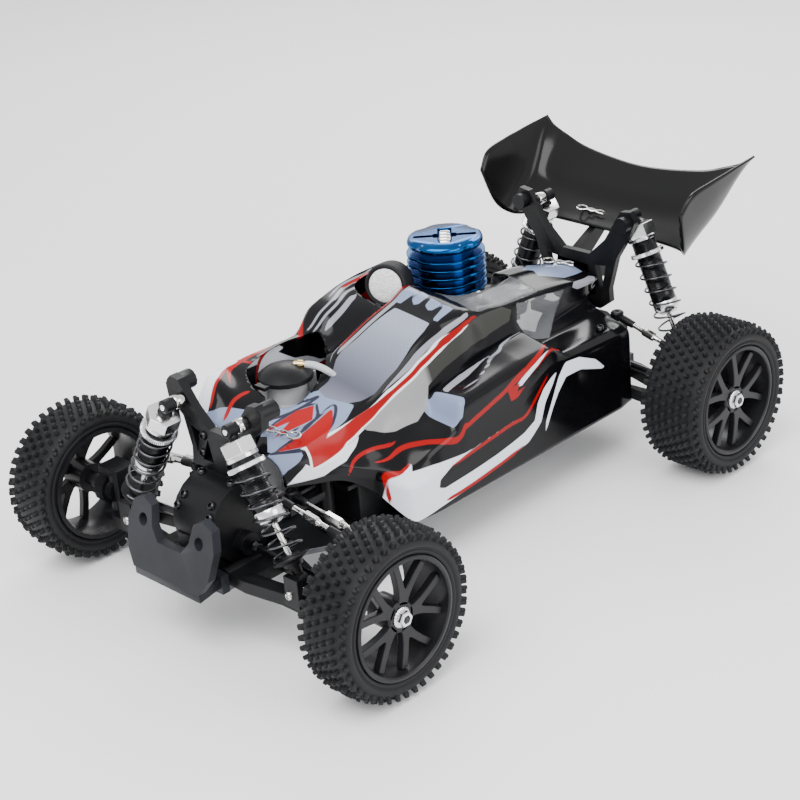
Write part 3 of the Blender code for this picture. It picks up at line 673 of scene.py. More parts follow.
def placed(name, template, spots, finish, size_jitter=0.0, turn_jitter=0.0, seed=7, smooth=40):
    """Copies of a template, whose Z looks out, on (point, direction) spots in millimetres."""
    mesh = bpy.data.meshes.new(name)
    mesh.from_pydata([tuple(Vector(point) * MM) for point, _ in spots], [], [])
    facing = mesh.attributes.new("facing", "FLOAT_VECTOR", "POINT")
    for i, (_, direction) in enumerate(spots):
        facing.data[i].vector = Vector(direction).normalized()
    made = new_object(name, mesh)
    use_tree(made, PLACING, template=template, finish=finish, size_jitter=float(size_jitter),
             turn_jitter=float(turn_jitter), seed=seed)
    for attribute in list(made.data.attributes):
        if attribute.name == "facing":
            made.data.attributes.remove(attribute)
    shade(made.data, smooth)
    return made


TEMPLATES = []


def template(made):
    """A piece that is only copied from: it is removed before the end."""
    TEMPLATES.append(made)
    made.hide_render = True
    return made


print("placing tree:", len(PLACING.nodes), "nodes")

# %% [markdown]
# ## Tyres
# An off-road tyre is a soft carcass with rows of round rubber pins, staggered from row to row, and a
# bead that hooks over the rim. The carcass is turned from half a section. The pins are one tapered
# template on points that a loop lays out in rings, leaning outwards towards the shoulders.

# %% Make the tyres
PIN_HEIGHT = 3.3
TYRE_STEPS = 96
AXLE = (1, 0, 0)


def pin_template():
    profile = [(-0.9, 0), (-0.9, 1.62), (0.4, 1.42), (PIN_HEIGHT - 0.35, 1.15), (PIN_HEIGHT, 0.85),
               (PIN_HEIGHT, 0)]
    return template(turned("pin", profile, (0, 0, 0), (0, 0, 1), RUBBER, 9, smooth=60))


def tyre_section(half, rim_half, tip_r):
    """Outer half of the section from the bead to the middle of the tread: (across, radius)."""
    base = tip_r - PIN_HEIGHT
    return [(rim_half - 2.8, 30.4), (rim_half - 2.8, 31.5), (rim_half - 0.6, 31.7), (half - 1.5, 31.9),
            (half - 0.9, 32.6), (half - 0.9, 33.4), (half - 1.5, 33.7), (half - 1.5, 34.3),
            (half - 0.7, 34.9), (half - 0.4, 36.3), (half - 1.3, 38.2), (half - 3.4, base - 0.7),
            (half - 6.4, base - 0.1), (0.0, base + 0.1)]


def pin_spots(centre, half, tip_r, rows, count):
    """Rings of pins across the tread; the outer ring leans out over the shoulder."""
    base = tip_r - PIN_HEIGHT
    spots = []
    reach = half - 3.2
    for row in range(rows):
        across = -reach + 2 * reach * row / (rows - 1)
        edge = max(0.0, abs(across) / reach - 0.72) / 0.28
        lean = math.copysign(0.55 * edge, across)
        ring_r = base - 1.25 * edge ** 1.5
        for k in range(count):
            turn = 2 * math.pi * (k + 0.5 * (row % 2)) / count
            out = Vector((0, math.cos(turn), math.sin(turn)))
            point = Vector(centre) + Vector((across, 0, 0)) + out * ring_r
            spots.append((point, out * math.cos(lean) + Vector((math.sin(lean), 0, 0))))
    return spots


def shoulder_spots(centre, half, tip_r, count):
    """A ring of small pins on each sidewall below the tread."""
    spots = []
    for side in (-1, 1):
        for k in range(count):
            turn = 2 * math.pi * (k + 0.25) / count
            out = Vector((0, math.cos(turn), math.sin(turn)))
            point = Vector(centre) + Vector((side * (half - 2.6), 0, 0)) + out * (tip_r - PIN_HEIGHT - 2.0)
            spots.append((point, out * 0.8 + Vector((side * 0.75, 0, 0))))
    return spots


PIN = pin_template()
TREADS = {"front": (6, 44), "rear": (8, 44)}


def make_tyre(end):
    m = WHEELS[end]
    half_section = tyre_section(m["tyre_half"], m["rim_half"], m["tip_r"])
    section = half_section + [(-a, r) for a, r in half_section[-2::-1]]
    carcass = turned("carcass", rounded(section, 0.2, 1), m["centre"], AXLE, RUBBER, TYRE_STEPS, smooth=50)
    rows, count = TREADS[end]
    pins = placed("pins", PIN, pin_spots(m["centre"], m["tyre_half"], m["tip_r"], rows, count), RUBBER,
                  size_jitter=0.05, turn_jitter=0.4, seed=11)
    shoulder = placed("shoulder", PIN, shoulder_spots(m["centre"], m["tyre_half"], m["tip_r"], count), RUBBER,
                      size_jitter=0.12, turn_jitter=0.4, seed=12)
    return joined(f"{end}_left_tyre_pinned", [carcass, pins, shoulder])


for end in ENDS:
    left = make_tyre(end)
    right = twin(left, f"{end}_right_tyre_pinned")
    for side, tyre in (("left", left), ("right", right)):
        fit(tyre, f"{end}_{side}_wheel", "rubber", f"{end}_{side}_tyre")
    print(end, "tyre faces:", len(left.data.polygons))

# %% [markdown]
# ## Wheels
# Each wheel is one moulding: a barrel with two bead flanges, a hub and five forked spokes that sit a
# few millimetres inside the outer lip. The barrel and hub are turned. One fork is an outline pushed
# through its thickness, and a loop copies it five times round the axle. A serrated silver
# nut on the axle's end holds the wheel.

# %% Make the wheels
SPOKES = 5
SPOKE_FACE = 3.4          # how far the spokes sit inside the outer lip
SPOKE_DEPTH = 4.2


def fork_outline():
    """A forked spoke pointing along +X: it leaves the hub, splits and meets the barrel twice."""
    def polar(radius, degrees):
        return (radius * math.cos(math.radians(degrees)), radius * math.sin(math.radians(degrees)))
    upper = [polar(6.5, 30), polar(9.5, 20), polar(14.0, 19), polar(20.0, 21), polar(27.9, 23.5)]
    inner = [polar(27.9, 15.5), polar(21.0, 10.5), polar(15.5, 4.5), polar(13.6, 0)]
    half = upper + inner
    return half + [(x, -y) for x, y in half[-2::-1]]


def wheel_barrel(m):
    h = m["rim_half"]
    profile = [(-h, 28.6), (-h, 31.0), (-h + 1.4, 31.1), (-h + 2.0, 30.1), (h - 2.0, 30.1), (h - 1.4, 31.1),
               (h - 0.3, 31.1), (h, 30.7), (h, 29.4), (h - 0.6, 28.7), (h - SPOKE_FACE - SPOKE_DEPTH, 28.0),
               (h - SPOKE_FACE - SPOKE_DEPTH - 2.0, 28.6)]
    return turned("barrel", profile, m["centre"], AXLE, WHEEL_BLACK, TYRE_STEPS)


def wheel_hub(m):
    h = m["rim_half"]
    face = h - SPOKE_FACE
    profile = [(m["stub"], 0), (m["stub"], 3.7), (m["stub"] + 0.3, 4.0), (-3.0, 4.0), (-3.0, 8.0),
               (face - SPOKE_DEPTH, 8.2), (face - 0.8, 8.2), (face, 7.4), (face, 5.6), (face - 0.6, 5.6),
               (face - 0.6, 0)]
    return turned("hub", profile, m["centre"], AXLE, WHEEL_BLACK, 48)


def wheel_spokes(m):
    face = m["rim_half"] - SPOKE_FACE
    fork = pushed("fork", fork_outline(), "z", -SPOKE_DEPTH, 0.0, WHEEL_BLACK, 0.55)
    turned_up = Matrix.Rotation(math.radians(90), 4, "Y")
    parts = []
    for k in range(SPOKES):
        copy = new_object("spoke", fork.data.copy())
        place = Matrix.Translation((Vector(m["centre"]) + Vector((face, 0, 0))) * MM)
        copy.data.transform(place @ Matrix.Rotation(2 * math.pi * (k + 0.25) / SPOKES, 4, "X") @ turned_up)
        parts.append(copy)
    bpy.data.objects.remove(fork)
    return parts


def serrated(turn, _):
    return 1 + 0.035 * math.cos(24 * turn)


def turned_on(start, direction):
    """A way to turn several parts on one line."""
    def part(name, profile, finish, steps=48, **more):
        return turned(name, profile, start, direction, finish, steps, **more)
    return part


def wheel_nut(m):
    part = turned_on(m["centre"] + Vector((m["rim_half"] - SPOKE_FACE - 0.6, 0, 0)), AXLE)
    flange = part("flange", [(0, 0), (0, 5.0), (1.0, 5.2), (1.6, 4.5), (1.6, 0)], ALLOY, 96, wobble=serrated)
    nut = part("nut", [(1.6, 0), (1.6, 4.1), (3.6, 4.1), (4.2, 3.6), (4.2, 2.3), (3.4, 2.1), (3.4, 0)],
               ALLOY, 6, smooth=20)
    end = part("axle_end", [(3.3, 0), (3.3, 1.8), (4.4, 1.8), (4.8, 1.4), (4.8, 0)], DARK_STEEL, 24)
    return [flange, nut, end]


WHEEL_BLACK = nylon("Wheel nylon", (0.009, 0.009, 0.0105), 0.30, 0.015)
for end in ENDS:
    m = WHEELS[end]
    rim = joined(f"{end}_left_rim_moulding", [wheel_barrel(m), wheel_hub(m)] + wheel_spokes(m))
    nut = joined(f"{end}_left_wheel_nut", wheel_nut(m))
    for side in ("left", "right"):
        this_rim = rim if side == "left" else twin(rim, f"{end}_right_rim_moulding")
        this_nut = nut if side == "left" else twin(nut, f"{end}_right_wheel_nut")
        fit(this_rim, f"{end}_{side}_wheel", "black_plastic", f"{end}_{side}_rim")
        fit(this_nut, f"{end}_{side}_wheel", "silver")
    print(end, "rim faces:", len(rim.data.polygons))

# %% [markdown]
# ## Shocks
# A coil-over shock: a moulded ball end on the tower's stud, a hexagonal alloy cap, a threaded black
# cylinder with a thin knurled alloy collar to set the spring, an alloy seal cap, a plated shaft, and a
# lower cup and ball end. Turned sections make the metal. The spring is a Geometry Nodes helix, since a
# spring is a rule: turns, length and radius.

# %% Build the spring tree
SPRING_SIDES = 8


def spring_tree():
    tree, given = new_tree("Coil spring", (
        ("Base", "Geometry", None), ("Turns", "Float", 6.0), ("Length", "Float", 0.05),
        ("Radius", "Float", 0.0086), ("Wire", "Float", 0.0006), ("Finish", "Material", None)), "Spring")
    helix = tree_node(tree, "GeometryNodeCurveSpiral", {
        "Resolution": 40, "Rotations": given["Turns"], "Height": given["Length"],
        "Start Radius": given["Radius"], "End Radius": given["Radius"]})
    round_wire = tree_node(tree, "GeometryNodeCurvePrimitiveCircle",
                           {"Resolution": SPRING_SIDES, "Radius": given["Wire"]})
    sweep = tree_node(tree, "GeometryNodeCurveToMesh", {
        "Curve": helix["Curve"], "Profile Curve": round_wire["Curve"], "Fill Caps": True})
    painted_output(tree, sweep["Mesh"], given["Finish"])
    return tree


SPRING = spring_tree()


def laid_along(made, start, direction):
    """Turns a piece made along +Z from the origin so that it starts at start and runs along direction."""
    turn = Vector(direction).normalized().to_track_quat("Z", "Y").to_matrix().to_4x4()
    made.data.transform(Matrix.Translation(Vector(start) * MM) @ turn)
    return made


def coil(name, start, direction, length, radius, wire, turns):
    mesh = bpy.data.meshes.new(name)
    made = new_object(name, mesh)
    use_tree(made, SPRING, turns=float(turns), length=(length - 2 * wire) * MM, radius=radius * MM,
             wire=wire * MM, finish=SPRING_WIRE)
    laid_along(made, Vector(start) + Vector(direction).normalized() * wire, direction)
    return dress(made, SPRING_WIRE, 60)


print("spring tree ready")

# %% Make the shocks
SHOCK_Y = {"front": -158.5, "rear": 141.5}
SHOCK_LOW = {"front": (64.0, 45.0), "rear": (70.0, 42.0)}
SEAT_SHARE = 0.25         # where the spring's collar is, as a share of the shock's length
STOP_SHARE = 0.60         # where the cylinder ends
CUP_ABOVE_EYE = 12.5
SPRING_TURNS = {"front": 6.5, "rear": 7.5}


def shock_line(end):
    top = joint_at(f"{end}_left_shock_swing")
    low = Vector((SHOCK_LOW[end][0], SHOCK_Y[end], SHOCK_LOW[end][1]))
    return top, low, (low - top).normalized(), (low - top).length


def threaded(start, stop, radius, pitch=0.9, depth=0.28):
    """Thread-like ridges on a turned section."""
    out = []
    for k in range(int((stop - start) / pitch)):
        out += [(start + k * pitch, radius), (start + (k + 0.5) * pitch, radius - depth)]
    return out


def knurl(turn, _):
    return 1 + 0.02 * math.cos(60 * turn)


def ball_end(centre):
    """A moulded eye with the alloy ball showing in its bore."""
    part = turned_on(centre, (0, 1, 0))
    eye = part("eye", [(-3.0, 3.0), (-2.5, 3.6), (2.5, 3.6), (3.0, 3.0), (3.0, 2.1), (-3.0, 2.1)], NYLON, 28)
    ball = part("ball", [(-3.2, 0), (-3.2, 1.5), (-1.5, 2.05), (1.5, 2.05), (3.2, 1.5), (3.2, 0)], ALLOY, 20)
    return [eye, ball]


def shock_upper(end):
    top, _, u, length = shock_line(end)
    seat, stop, thread_end = (length * share for share in (SEAT_SHARE, STOP_SHARE, 0.47))
    part = turned_on(top, u)
    neck = part("neck", [(2.6, 0), (2.6, 2.3), (4.2, 2.6), (5.2, 4.2), (5.2, 0)], NYLON, 24)
    cap = broken_edges(part("cap", [(5.0, 0), (5.0, 6.4), (5.5, 9.2), (12.4, 9.2), (12.9, 8.4), (12.9, 0)],
                            ALLOY, 6, smooth=20), 0.5)
    lip = part("lip", [(12.6, 0), (12.6, 7.9), (13.0, 8.3), (14.6, 8.3), (15.0, 7.8), (15.0, 0)], ALLOY)
    thread = [(14.6, 0), (14.6, 7.0)] + threaded(14.8, thread_end, 7.05) + [(thread_end, 6.8)]
    barrel = thread + [(length * 0.475, 7.05), (stop - 6.0, 7.05), (stop - 5.6, 6.6), (stop - 5.6, 0)]
    tube = part("tube", barrel, BLACK_ENAMEL, 40, smooth=60)
    seal = part("seal", [(stop - 6.2, 0), (stop - 6.2, 7.2), (stop - 5.8, 7.5), (stop - 1.2, 7.5),
                         (stop - 0.4, 6.9), (stop + 1.6, 4.2), (stop + 1.9, 2.2), (stop + 1.9, 0)], ALLOY)
    collar = part("collar", [(seat - 2.6, 6.6), (seat - 2.6, 9.0), (seat - 2.2, 9.5), (seat - 0.5, 9.5),
                             (seat - 0.1, 9.0), (seat - 0.1, 6.6)], ALLOY, 120, wobble=knurl)
    black = joined(f"{end}_left_shock_cylinder", [tube, neck] + ball_end(top))
    silver = joined(f"{end}_left_shock_caps", [cap, lip, seal, collar])
    return black, silver


def shock_lower(end):
    top, low, u, length = shock_line(end)
    stop, cup = length * STOP_SHARE, length - CUP_ABOVE_EYE
    part = turned_on(top, u)
    shaft = part("shaft", [(stop - 12.0, 0), (stop - 12.0, 1.5), (length - 7.5, 1.5), (length - 7.5, 0)],
                 CHROME, 24)
    seat = part("seat", [(cup - 1.0, 0), (cup - 1.0, 5.2), (cup, 5.4), (cup, 9.2), (cup + 0.5, 9.5),
                         (cup + 1.3, 9.5), (cup + 2.0, 8.8), (cup + 2.8, 5.4), (cup + 5.0, 4.6),
                         (cup + 5.0, 0)], NYLON)
    neck = part("neck", [(cup + 4.6, 0), (cup + 4.6, 3.0), (length - 3.0, 2.6), (length - 2.4, 0)], NYLON, 20)
    black = joined(f"{end}_left_shock_lower_eye", [neck] + ball_end(low))
    plated = joined(f"{end}_left_shock_shaft_plated", [shaft, seat])
    return black, plated


print("shock parts ready")

# %% [markdown]
# Only the left shocks are made; the right ones are their mirror images. Each spring gets a
# mesh of its own.

# %% Put the shocks together
for end in ENDS:
    top, _, u, length = shock_line(end)
    made = {}
    made["cylinder"], made["caps"] = shock_upper(end)
    made["eye"], made["shaft"] = shock_lower(end)
    seat, cup = length * SEAT_SHARE, length - CUP_ABOVE_EYE
    made["spring"] = coil(f"{end}_left_spring_wire", top + u * seat, u, cup - seat, radius=8.5, wire=0.62,
                          turns=SPRING_TURNS[end])
    for side, s in SIDES:
        here = made
        if side == "right":
            here = {key: twin(piece, piece.name.replace("left", "right")) for key, piece in made.items()}
        car = f"{end}_{side}"
        fit(here["cylinder"], f"{car}_shock_body", "dark_steel", f"{car}_shock_body")
        fit(here["caps"], f"{car}_shock_body", "silver")
        fit(here["eye"], f"{car}_shock_shaft", "black_plastic")
        fit(here["shaft"], f"{car}_shock_shaft", "silver", f"{car}_shock_shaft")
        fit(here["spring"], f"{car}_shock_body", "dark_steel", f"{car}_spring")
        stroke = abs(JOINTS[f"{car}_shock_slide"]["range_m"][0]) / MM
        axis = Vector((u.x * s, u.y, u.z))
        anchor = Vector(((top + u * seat).x * s, top.y, (top + u * seat).z)) * MM
        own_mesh(here["spring"], f"{car}_shock_slide", axis=tuple(axis), anchor=tuple(anchor),
                  keep=(cup - seat - stroke) / (cup - seat))
    print(end, "shock length", round(length, 1), "mm")

# %% [markdown]
# ## Turnbuckles
# Camber links and tie rods are plated rods, threaded left-handed at one end, with a hexagon in the
# middle for a spanner and a nylon cup pressed over a ball at each end. The cups hang over the ball
# studs, so each stud is a small turned piece on the part it is screwed to.

# %% Make the links
LINKS = {
    "front": ((30.0, -140.0, 71.0), (79.0, -140.0, 63.6)),
    "rear": ((29.5, 127.0, 73.0), (75.0, 127.0, 60.6)),
}
TIE = ((20.0, -122.0, 61.4), (88.0, -128.0, 58.0))


def link_pieces(name, p, q, below, above):
    """Rod with its hexagon, and the two cups, between two ball centres."""
    p, q = Vector(p), Vector(q)
    u, length = (q - p).normalized(), (q - p).length
    part = turned_on(p, u)
    rod = part("rod", [(7.5, 0), (7.5, 1.35)] + threaded(7.8, length * 0.36, 1.45, 0.6, 0.12)
               + [(length * 0.37, 1.6), (length * 0.63, 1.6)]
               + threaded(length * 0.64, length - 7.8, 1.45, 0.6, 0.12)
               + [(length - 7.5, 1.35), (length - 7.5, 0)], CHROME, 20, smooth=60)
    nut = part("hexagon", [(length * share, radius) for share, radius in (
        (0.41, 0), (0.41, 1.9), (0.42, 2.5), (0.58, 2.5), (0.59, 1.9), (0.59, 0))], CHROME, 6, smooth=20)
    plated = joined(f"{name}_rod", [rod, nut])
    cup = [(-below, 0), (-below, 3.3), (-below + 0.5, 3.8), (above - 0.8, 3.8), (above, 3.0), (above, 1.3),
           (above - 0.5, 1.1), (above - 0.5, 0)]
    stem = [(2.6, 0), (2.6, 2.0), (4.2, 2.2), (8.0, 2.3), (12.0, 2.1), (12.4, 1.7), (12.4, 0)]
    cups = []
    for centre, way in ((p, u), (q, -u)):
        cups.append(turned("cup", cup, centre, (0, 0, 1), NYLON, 24))
        cups.append(turned("stem", stem, centre, way, NYLON, 20))
    return plated, joined(f"{name}_cups", cups)


def stud(name, centre, floor):
    """A ball stud standing on a bracket and reaching up into a cup."""
    drop = Vector(centre).z - floor
    return turned(name, [(-drop, 0), (-drop, 2.8), (-drop + 0.8, 2.8), (-drop + 1.1, 1.3), (-1.6, 1.3),
                         (-0.9, 2.0), (0.4, 2.3), (1.2, 1.8), (1.6, 0)], centre, (0, 0, 1), ALLOY, 20)


def mirror_fit(piece, body_left, slot, *nodes):
    """Fits a left piece and its right twin."""
    other = twin(piece, piece.name.replace("left", "right"))
    fit(piece, body_left, slot, *nodes)
    fit(other, body_left.replace("left", "right"), slot, *(node.replace("left", "right") for node in nodes))


HUBS = {"front": "front_left_hub_carrier", "rear": "rear_left_hub"}
for end in ENDS:
    p, q = LINKS[end]
    rod, cups = link_pieces(f"{end}_left_camber_link", p, q, 2.2, 2.8)
    mirror_fit(rod, f"{end}_left_camber_link", "steel", f"{end}_left_camber_link")
    mirror_fit(cups, f"{end}_left_camber_link", "black_plastic")
    hub_top = span(HUBS[end])[1][2]
    hub_stud = stud(f"{end}_left_hub_stud", (q[0], q[1], q[2] - 0.6), hub_top - 0.4)
    mirror_fit(hub_stud, HUBS[end], "silver")
rod, cups = link_pieces("left_tie_rod", *TIE, 2.4, 2.6)
mirror_fit(rod, "left_tie_rod", "steel", "left_tie_rod")
mirror_fit(cups, "left_tie_rod", "black_plastic")
KNUCKLE_ARM_TOP = 53.2
mirror_fit(stud("left_steering_stud", TIE[1], KNUCKLE_ARM_TOP), "front_left_knuckle", "silver")
print("links done")

# %% [markdown]
# ## Moulded running gear
# Arms, carriers, knuckles, hubs, gearboxes, towers and the bumper are nylon mouldings whose shapes are
# already right in the frame. What the frame lacks is the mould's softness: every edge of a moulding is
# slightly rounded and catches a thin line of light. A copy of each solid with merged flat faces and a
# small Bevel gives exactly that, and it can't drift away from the frame.

# %% Round the mouldings
MOULDINGS = [
    ("chassis_plate", "chassis", PLATE_ALLOY, "grey_plastic", 0.4),
    ("front_gearbox", "chassis", NYLON, "black_plastic", 0.9),
    ("rear_gearbox", "chassis", NYLON, "black_plastic", 0.9),
    ("front_shock_tower", "chassis", NYLON, "black_plastic", 0.7),
    ("rear_shock_tower", "chassis", NYLON, "black_plastic", 0.7),
    ("front_bumper", "chassis", NYLON_GREY, "grey_plastic", 0.9),
    ("radio_box", "chassis", NYLON, "black_plastic", 1.2),
    ("steering_servo", "chassis", NYLON, "black_plastic", 0.6),
    ("bellcrank", "bellcrank", NYLON, "black_plastic", 0.5),
    ("drag_link", "drag_link", NYLON, "black_plastic", 0.4),
]
SIDE_MOULDINGS = [
    ("front_{}_arm", NYLON, "black_plastic", 0.8), ("front_{}_drive_shaft", DARK_STEEL, "dark_steel", 0.3),
    ("rear_{}_arm", NYLON, "black_plastic", 0.8), ("rear_{}_drive_shaft", DARK_STEEL, "dark_steel", 0.3),
    ("front_{}_hub_carrier", NYLON, "black_plastic", 0.6), ("front_{}_knuckle", NYLON, "black_plastic", 0.4),
    ("rear_{}_hub", NYLON, "black_plastic", 0.5),
]
for side, _ in SIDES:
    for node, finish, slot, edge in SIDE_MOULDINGS:
        MOULDINGS.append((node.format(side), node.format(side), finish, slot, edge))
for node, body, finish, slot, edge in MOULDINGS:
    fit(moulded_copy(node, finish, edge), body, slot, node)
print("mouldings:", len(MOULDINGS))

# %% [markdown]
# ## Body shell
# The shell is one sheet of polycarbonate, vacuum formed over a mould and painted from the inside. It
# could be boxes with a Subdivision Surface, but then its creases would wander. Here it is lofted: a few
# cross sections run from the left lower edge, over the top, to the right lower edge, and a smooth curve
# that never overshoots carries each corner from section to section. The corners are rounded by
# averaging, as a thin sheet does over a mould. It sits tilted on its posts, lower on its left.

# %% Sections of the shell
SHELL_SECTIONS = [
    (-128, [(23, 69), (23, 72), (22, 75), (21, 78), (19, 80.5), (15, 82.5), (0, 85), (-15, 86),
            (-22, 88), (-30, 91), (-40, 92), (-45, 86), (-44, 78)]),
    (-112, [(26, 65), (26, 68), (25, 71), (24, 74), (22, 78), (17, 84), (0, 87), (-15, 90),
            (-24, 95), (-36, 103), (-47, 107), (-53, 98), (-52, 84)]),
    (-98, [(29, 62), (29, 65), (28, 69), (27, 72), (24, 77), (18, 86), (0, 89), (-9, 90.5),
           (-26, 97), (-46, 104.5), (-50, 106), (-55, 95), (-54, 74)]),
    (-79, [(34, 49), (35, 56), (35, 62), (31, 67), (26, 75), (20, 90), (0, 92), (-6, 93),
           (-26, 98), (-46, 104), (-52, 105.5), (-56, 88), (-56, 58)]),
    (-66, [(51, 31), (50, 50), (43, 58), (35, 65), (26, 75), (20, 92), (0, 94.5), (-7, 95.5),
           (-26, 99), (-46, 104), (-52, 105), (-57, 82), (-57, 42)]),
    (-48, [(53, 31), (53, 52), (49, 65), (35, 71), (27, 78), (19, 99), (0, 102), (-18, 104),
           (-26, 101), (-38, 105), (-53, 105), (-57, 80), (-57, 40)]),
    (-33, [(53, 31), (53, 54), (51, 71), (33, 74), (28, 79), (18.5, 105.5), (0, 108), (-18.5, 110),
           (-26, 104), (-38, 116), (-54, 117), (-57, 80), (-57, 40)]),
    (-26, [(53, 31), (53, 55), (51.5, 84), (31, 85), (28, 81), (18, 109), (0, 111), (-18, 113),
           (-26, 106), (-40, 118), (-54, 119), (-57, 80), (-57, 40)]),
    (-8, [(53, 31), (53, 59), (51.5, 86), (30, 87.5), (27, 85), (18, 113.5), (0, 116), (-18, 118),
          (-22, 112), (-49, 120), (-54.5, 121.5), (-57, 80), (-57, 40)]),
    (9, [(53, 31), (53, 64), (51, 87), (29.5, 90), (27, 87), (22, 115), (0, 119), (-21, 121.5),
         (-24, 112), (-49, 121), (-54, 123), (-57, 80), (-57, 40)]),
    (24, [(53, 31), (53, 70), (51, 87.5), (29, 92), (27, 89), (21, 111), (4, 116), (2, 112),
          (-20, 100), (-50, 121), (-54, 123), (-57, 80), (-57, 40)]),
    (44, [(53, 31), (53, 78), (50, 87.5), (29, 93), (26, 90), (21, 107), (5, 112), (2, 110),
          (-20, 100), (-52, 92), (-55, 92), (-57, 78), (-57, 40)]),
    (56, [(53, 31), (53, 78), (49, 81.5), (32, 81), (25, 85), (20, 106), (5, 111), (2, 109),
          (-20, 100), (-52, 87), (-55, 86), (-57, 76), (-57, 40)]),
    (76, [(53, 31), (53, 77), (48, 80), (31, 81), (23, 87), (20, 104), (0, 109), (-20, 106),
          (-24, 90), (-34, 86), (-52, 86), (-57, 76), (-57, 40)]),
    (98, [(53, 31), (53, 76), (48, 79), (31, 82), (22, 88), (20, 101), (0, 106), (-20, 103),
          (-23, 90), (-32, 86), (-51, 84), (-56, 74), (-56, 40)]),
    (110, [(52, 32), (52, 75), (46, 78), (29, 83), (21, 89), (20, 98), (0, 103), (-20, 100),
           (-22, 91), (-30, 86), (-49, 82), (-55, 73), (-55, 41)]),
    (126, [(52, 32), (52, 75), (46, 78), (29, 83), (15, 90), (17, 94), (0, 99), (-17, 96),
           (-15, 92), (-30, 86), (-49, 82), (-55, 73), (-55, 41)]),
]
POD_END = 110             # behind this only the tail deck, panels 4 to 8, goes on
FINE_BELOW, FINE_ABOVE = 2, 7   # panels outside these are wide or cut, and get twice the columns
CORNER = 0.16             # share of a panel over which its corner is rounded
ROW_STEP = 1.25
PANEL_STEPS = (0.0, 0.07, 0.14, 0.21, 0.3, 0.4, 0.5, 0.6, 0.7, 0.79, 0.86, 0.93)


print("sections:", len(SHELL_SECTIONS))

# %% [markdown]
# Each section has thirteen corners, numbered from 0 at the left edge to 12 at the right one, and the
# stretch between two corners is a panel. A corner's x and z are carried along the car by a cubic that
# never overshoots, so a flat stretch between two sections stays flat.

# %% Carry the sections along the car


def steady_curve(places, values, wanted):
    """A cubic through values at places that never overshoots them."""
    places, values, wanted = (np.asarray(a, float) for a in (places, values, wanted))
    gaps = np.diff(places)
    slopes = np.diff(values) / gaps
    tangents = np.zeros(len(places))
    for i in range(1, len(places) - 1):
        a, b = slopes[i - 1], slopes[i]
        if a * b > 0:
            wa, wb = 2 * gaps[i] + gaps[i - 1], gaps[i] + 2 * gaps[i - 1]
            tangents[i] = (wa + wb) / (wa / a + wb / b)
    tangents[0], tangents[-1] = slopes[0], slopes[-1]
    k = np.clip(np.searchsorted(places, wanted, side="right") - 1, 0, len(gaps) - 1)
    t = (wanted - places[k]) / gaps[k]
    return ((2 * t ** 3 - 3 * t ** 2 + 1) * values[k] + (t ** 3 - 2 * t ** 2 + t) * gaps[k] * tangents[k]
            + (3 * t ** 2 - 2 * t ** 3) * values[k + 1] + (t ** 3 - t ** 2) * gaps[k] * tangents[k + 1])


def shell_grid():
    """Rows of (x, y, z) points with each point's panel number and y: the smooth outer skin."""
    ys = [y for y, _ in SHELL_SECTIONS]
    rows = sorted(set(np.arange(ys[0], ys[-1] + 0.1, ROW_STEP)) | {float(y) for y in ys})
    rows = np.array([row for i, row in enumerate(rows) if i == 0 or row - rows[i - 1] > 0.3 or row in ys])
    corners = np.array([[steady_curve(ys, [s[c][k] for _, s in SHELL_SECTIONS], rows) for k in (0, 1)]
                        for c in range(13)])
    panels = np.array([c + step for c in range(12) for step in PANEL_STEPS] + [12.0])
    halves = (panels[1:] + panels[:-1]) / 2
    panels = np.sort(np.concatenate([panels, halves[(halves < FINE_BELOW) | (halves > FINE_ABOVE)]]))

    def straight(u):
        u = np.clip(u, 0.0, 12.0)
        c = np.minimum(u.astype(int), 11)
        t = (u - c)[:, None]
        return [corners[c, k] * (1 - t) + corners[c + 1, k] * t for k in (0, 1)]

    reach = np.minimum(CORNER, np.minimum(panels, 12.0 - panels))
    x, z = (0.25 * a + 0.5 * b + 0.25 * c
            for a, b, c in zip(straight(panels - reach), straight(panels), straight(panels + reach)))
    return rows, panels, x.T, z.T


ROWS, PANELS, SKIN_X, SKIN_Z = shell_grid()
print("shell grid:", SKIN_X.shape)

# %% [markdown]
# ## Openings in the shell
# The sheet is trimmed with curved scissors round the fuel tank's lid and round the engine. Both cuts
# are seen from above, so they are outlines in plan. Each grid point gets its signed distance to the
# outline: points just outside are drawn onto it, and faces inside are dropped, which leaves a clean edge.

# %% Trim the openings
TANK_CUT = [(-12, -98), (-30, -98), (-42, -91), (-47, -76), (-49, -60), (-47, -49), (-40, -43), (-31, -45),
            (-19, -56), (-9, -73), (-6, -88)]
ENGINE_CUT = [(-21, -5), (-32, -8), (-44, -7), (-49, 0), (-50, 20), (-52, 34), (-52, 62), (-46, 73),
              (-30, 77), (-10, 76), (-1, 70), (1, 58), (1, 40), (-3, 27), (-12, 21), (-20, 14), (-21.5, 4)]


CUT_PANELS = (5.6, 10.0)  # the cuts only open the top of the shell, never its sides
SNAP = (-1.05, 1.0)       # a point this near to a cut is drawn onto it, in mm


def closed_curve(points, per_span=6):
    """A smooth closed line through a few points."""
    n = len(points)
    out = []
    for i in range(n):
        a, b, c, d = (np.array(points[(i + k) % n], float) for k in (-1, 0, 1, 2))
        for k in range(per_span):
            out.append(spline(a, b, c, d, k / per_span))
    return np.array(out)


print("cuts:", len(TANK_CUT), "and", len(ENGINE_CUT), "corners")

# %% [markdown]
# The signed distance does two jobs: it trims the sheet here, and it draws every colour of the livery
# further down.

# %% Trim the sheet


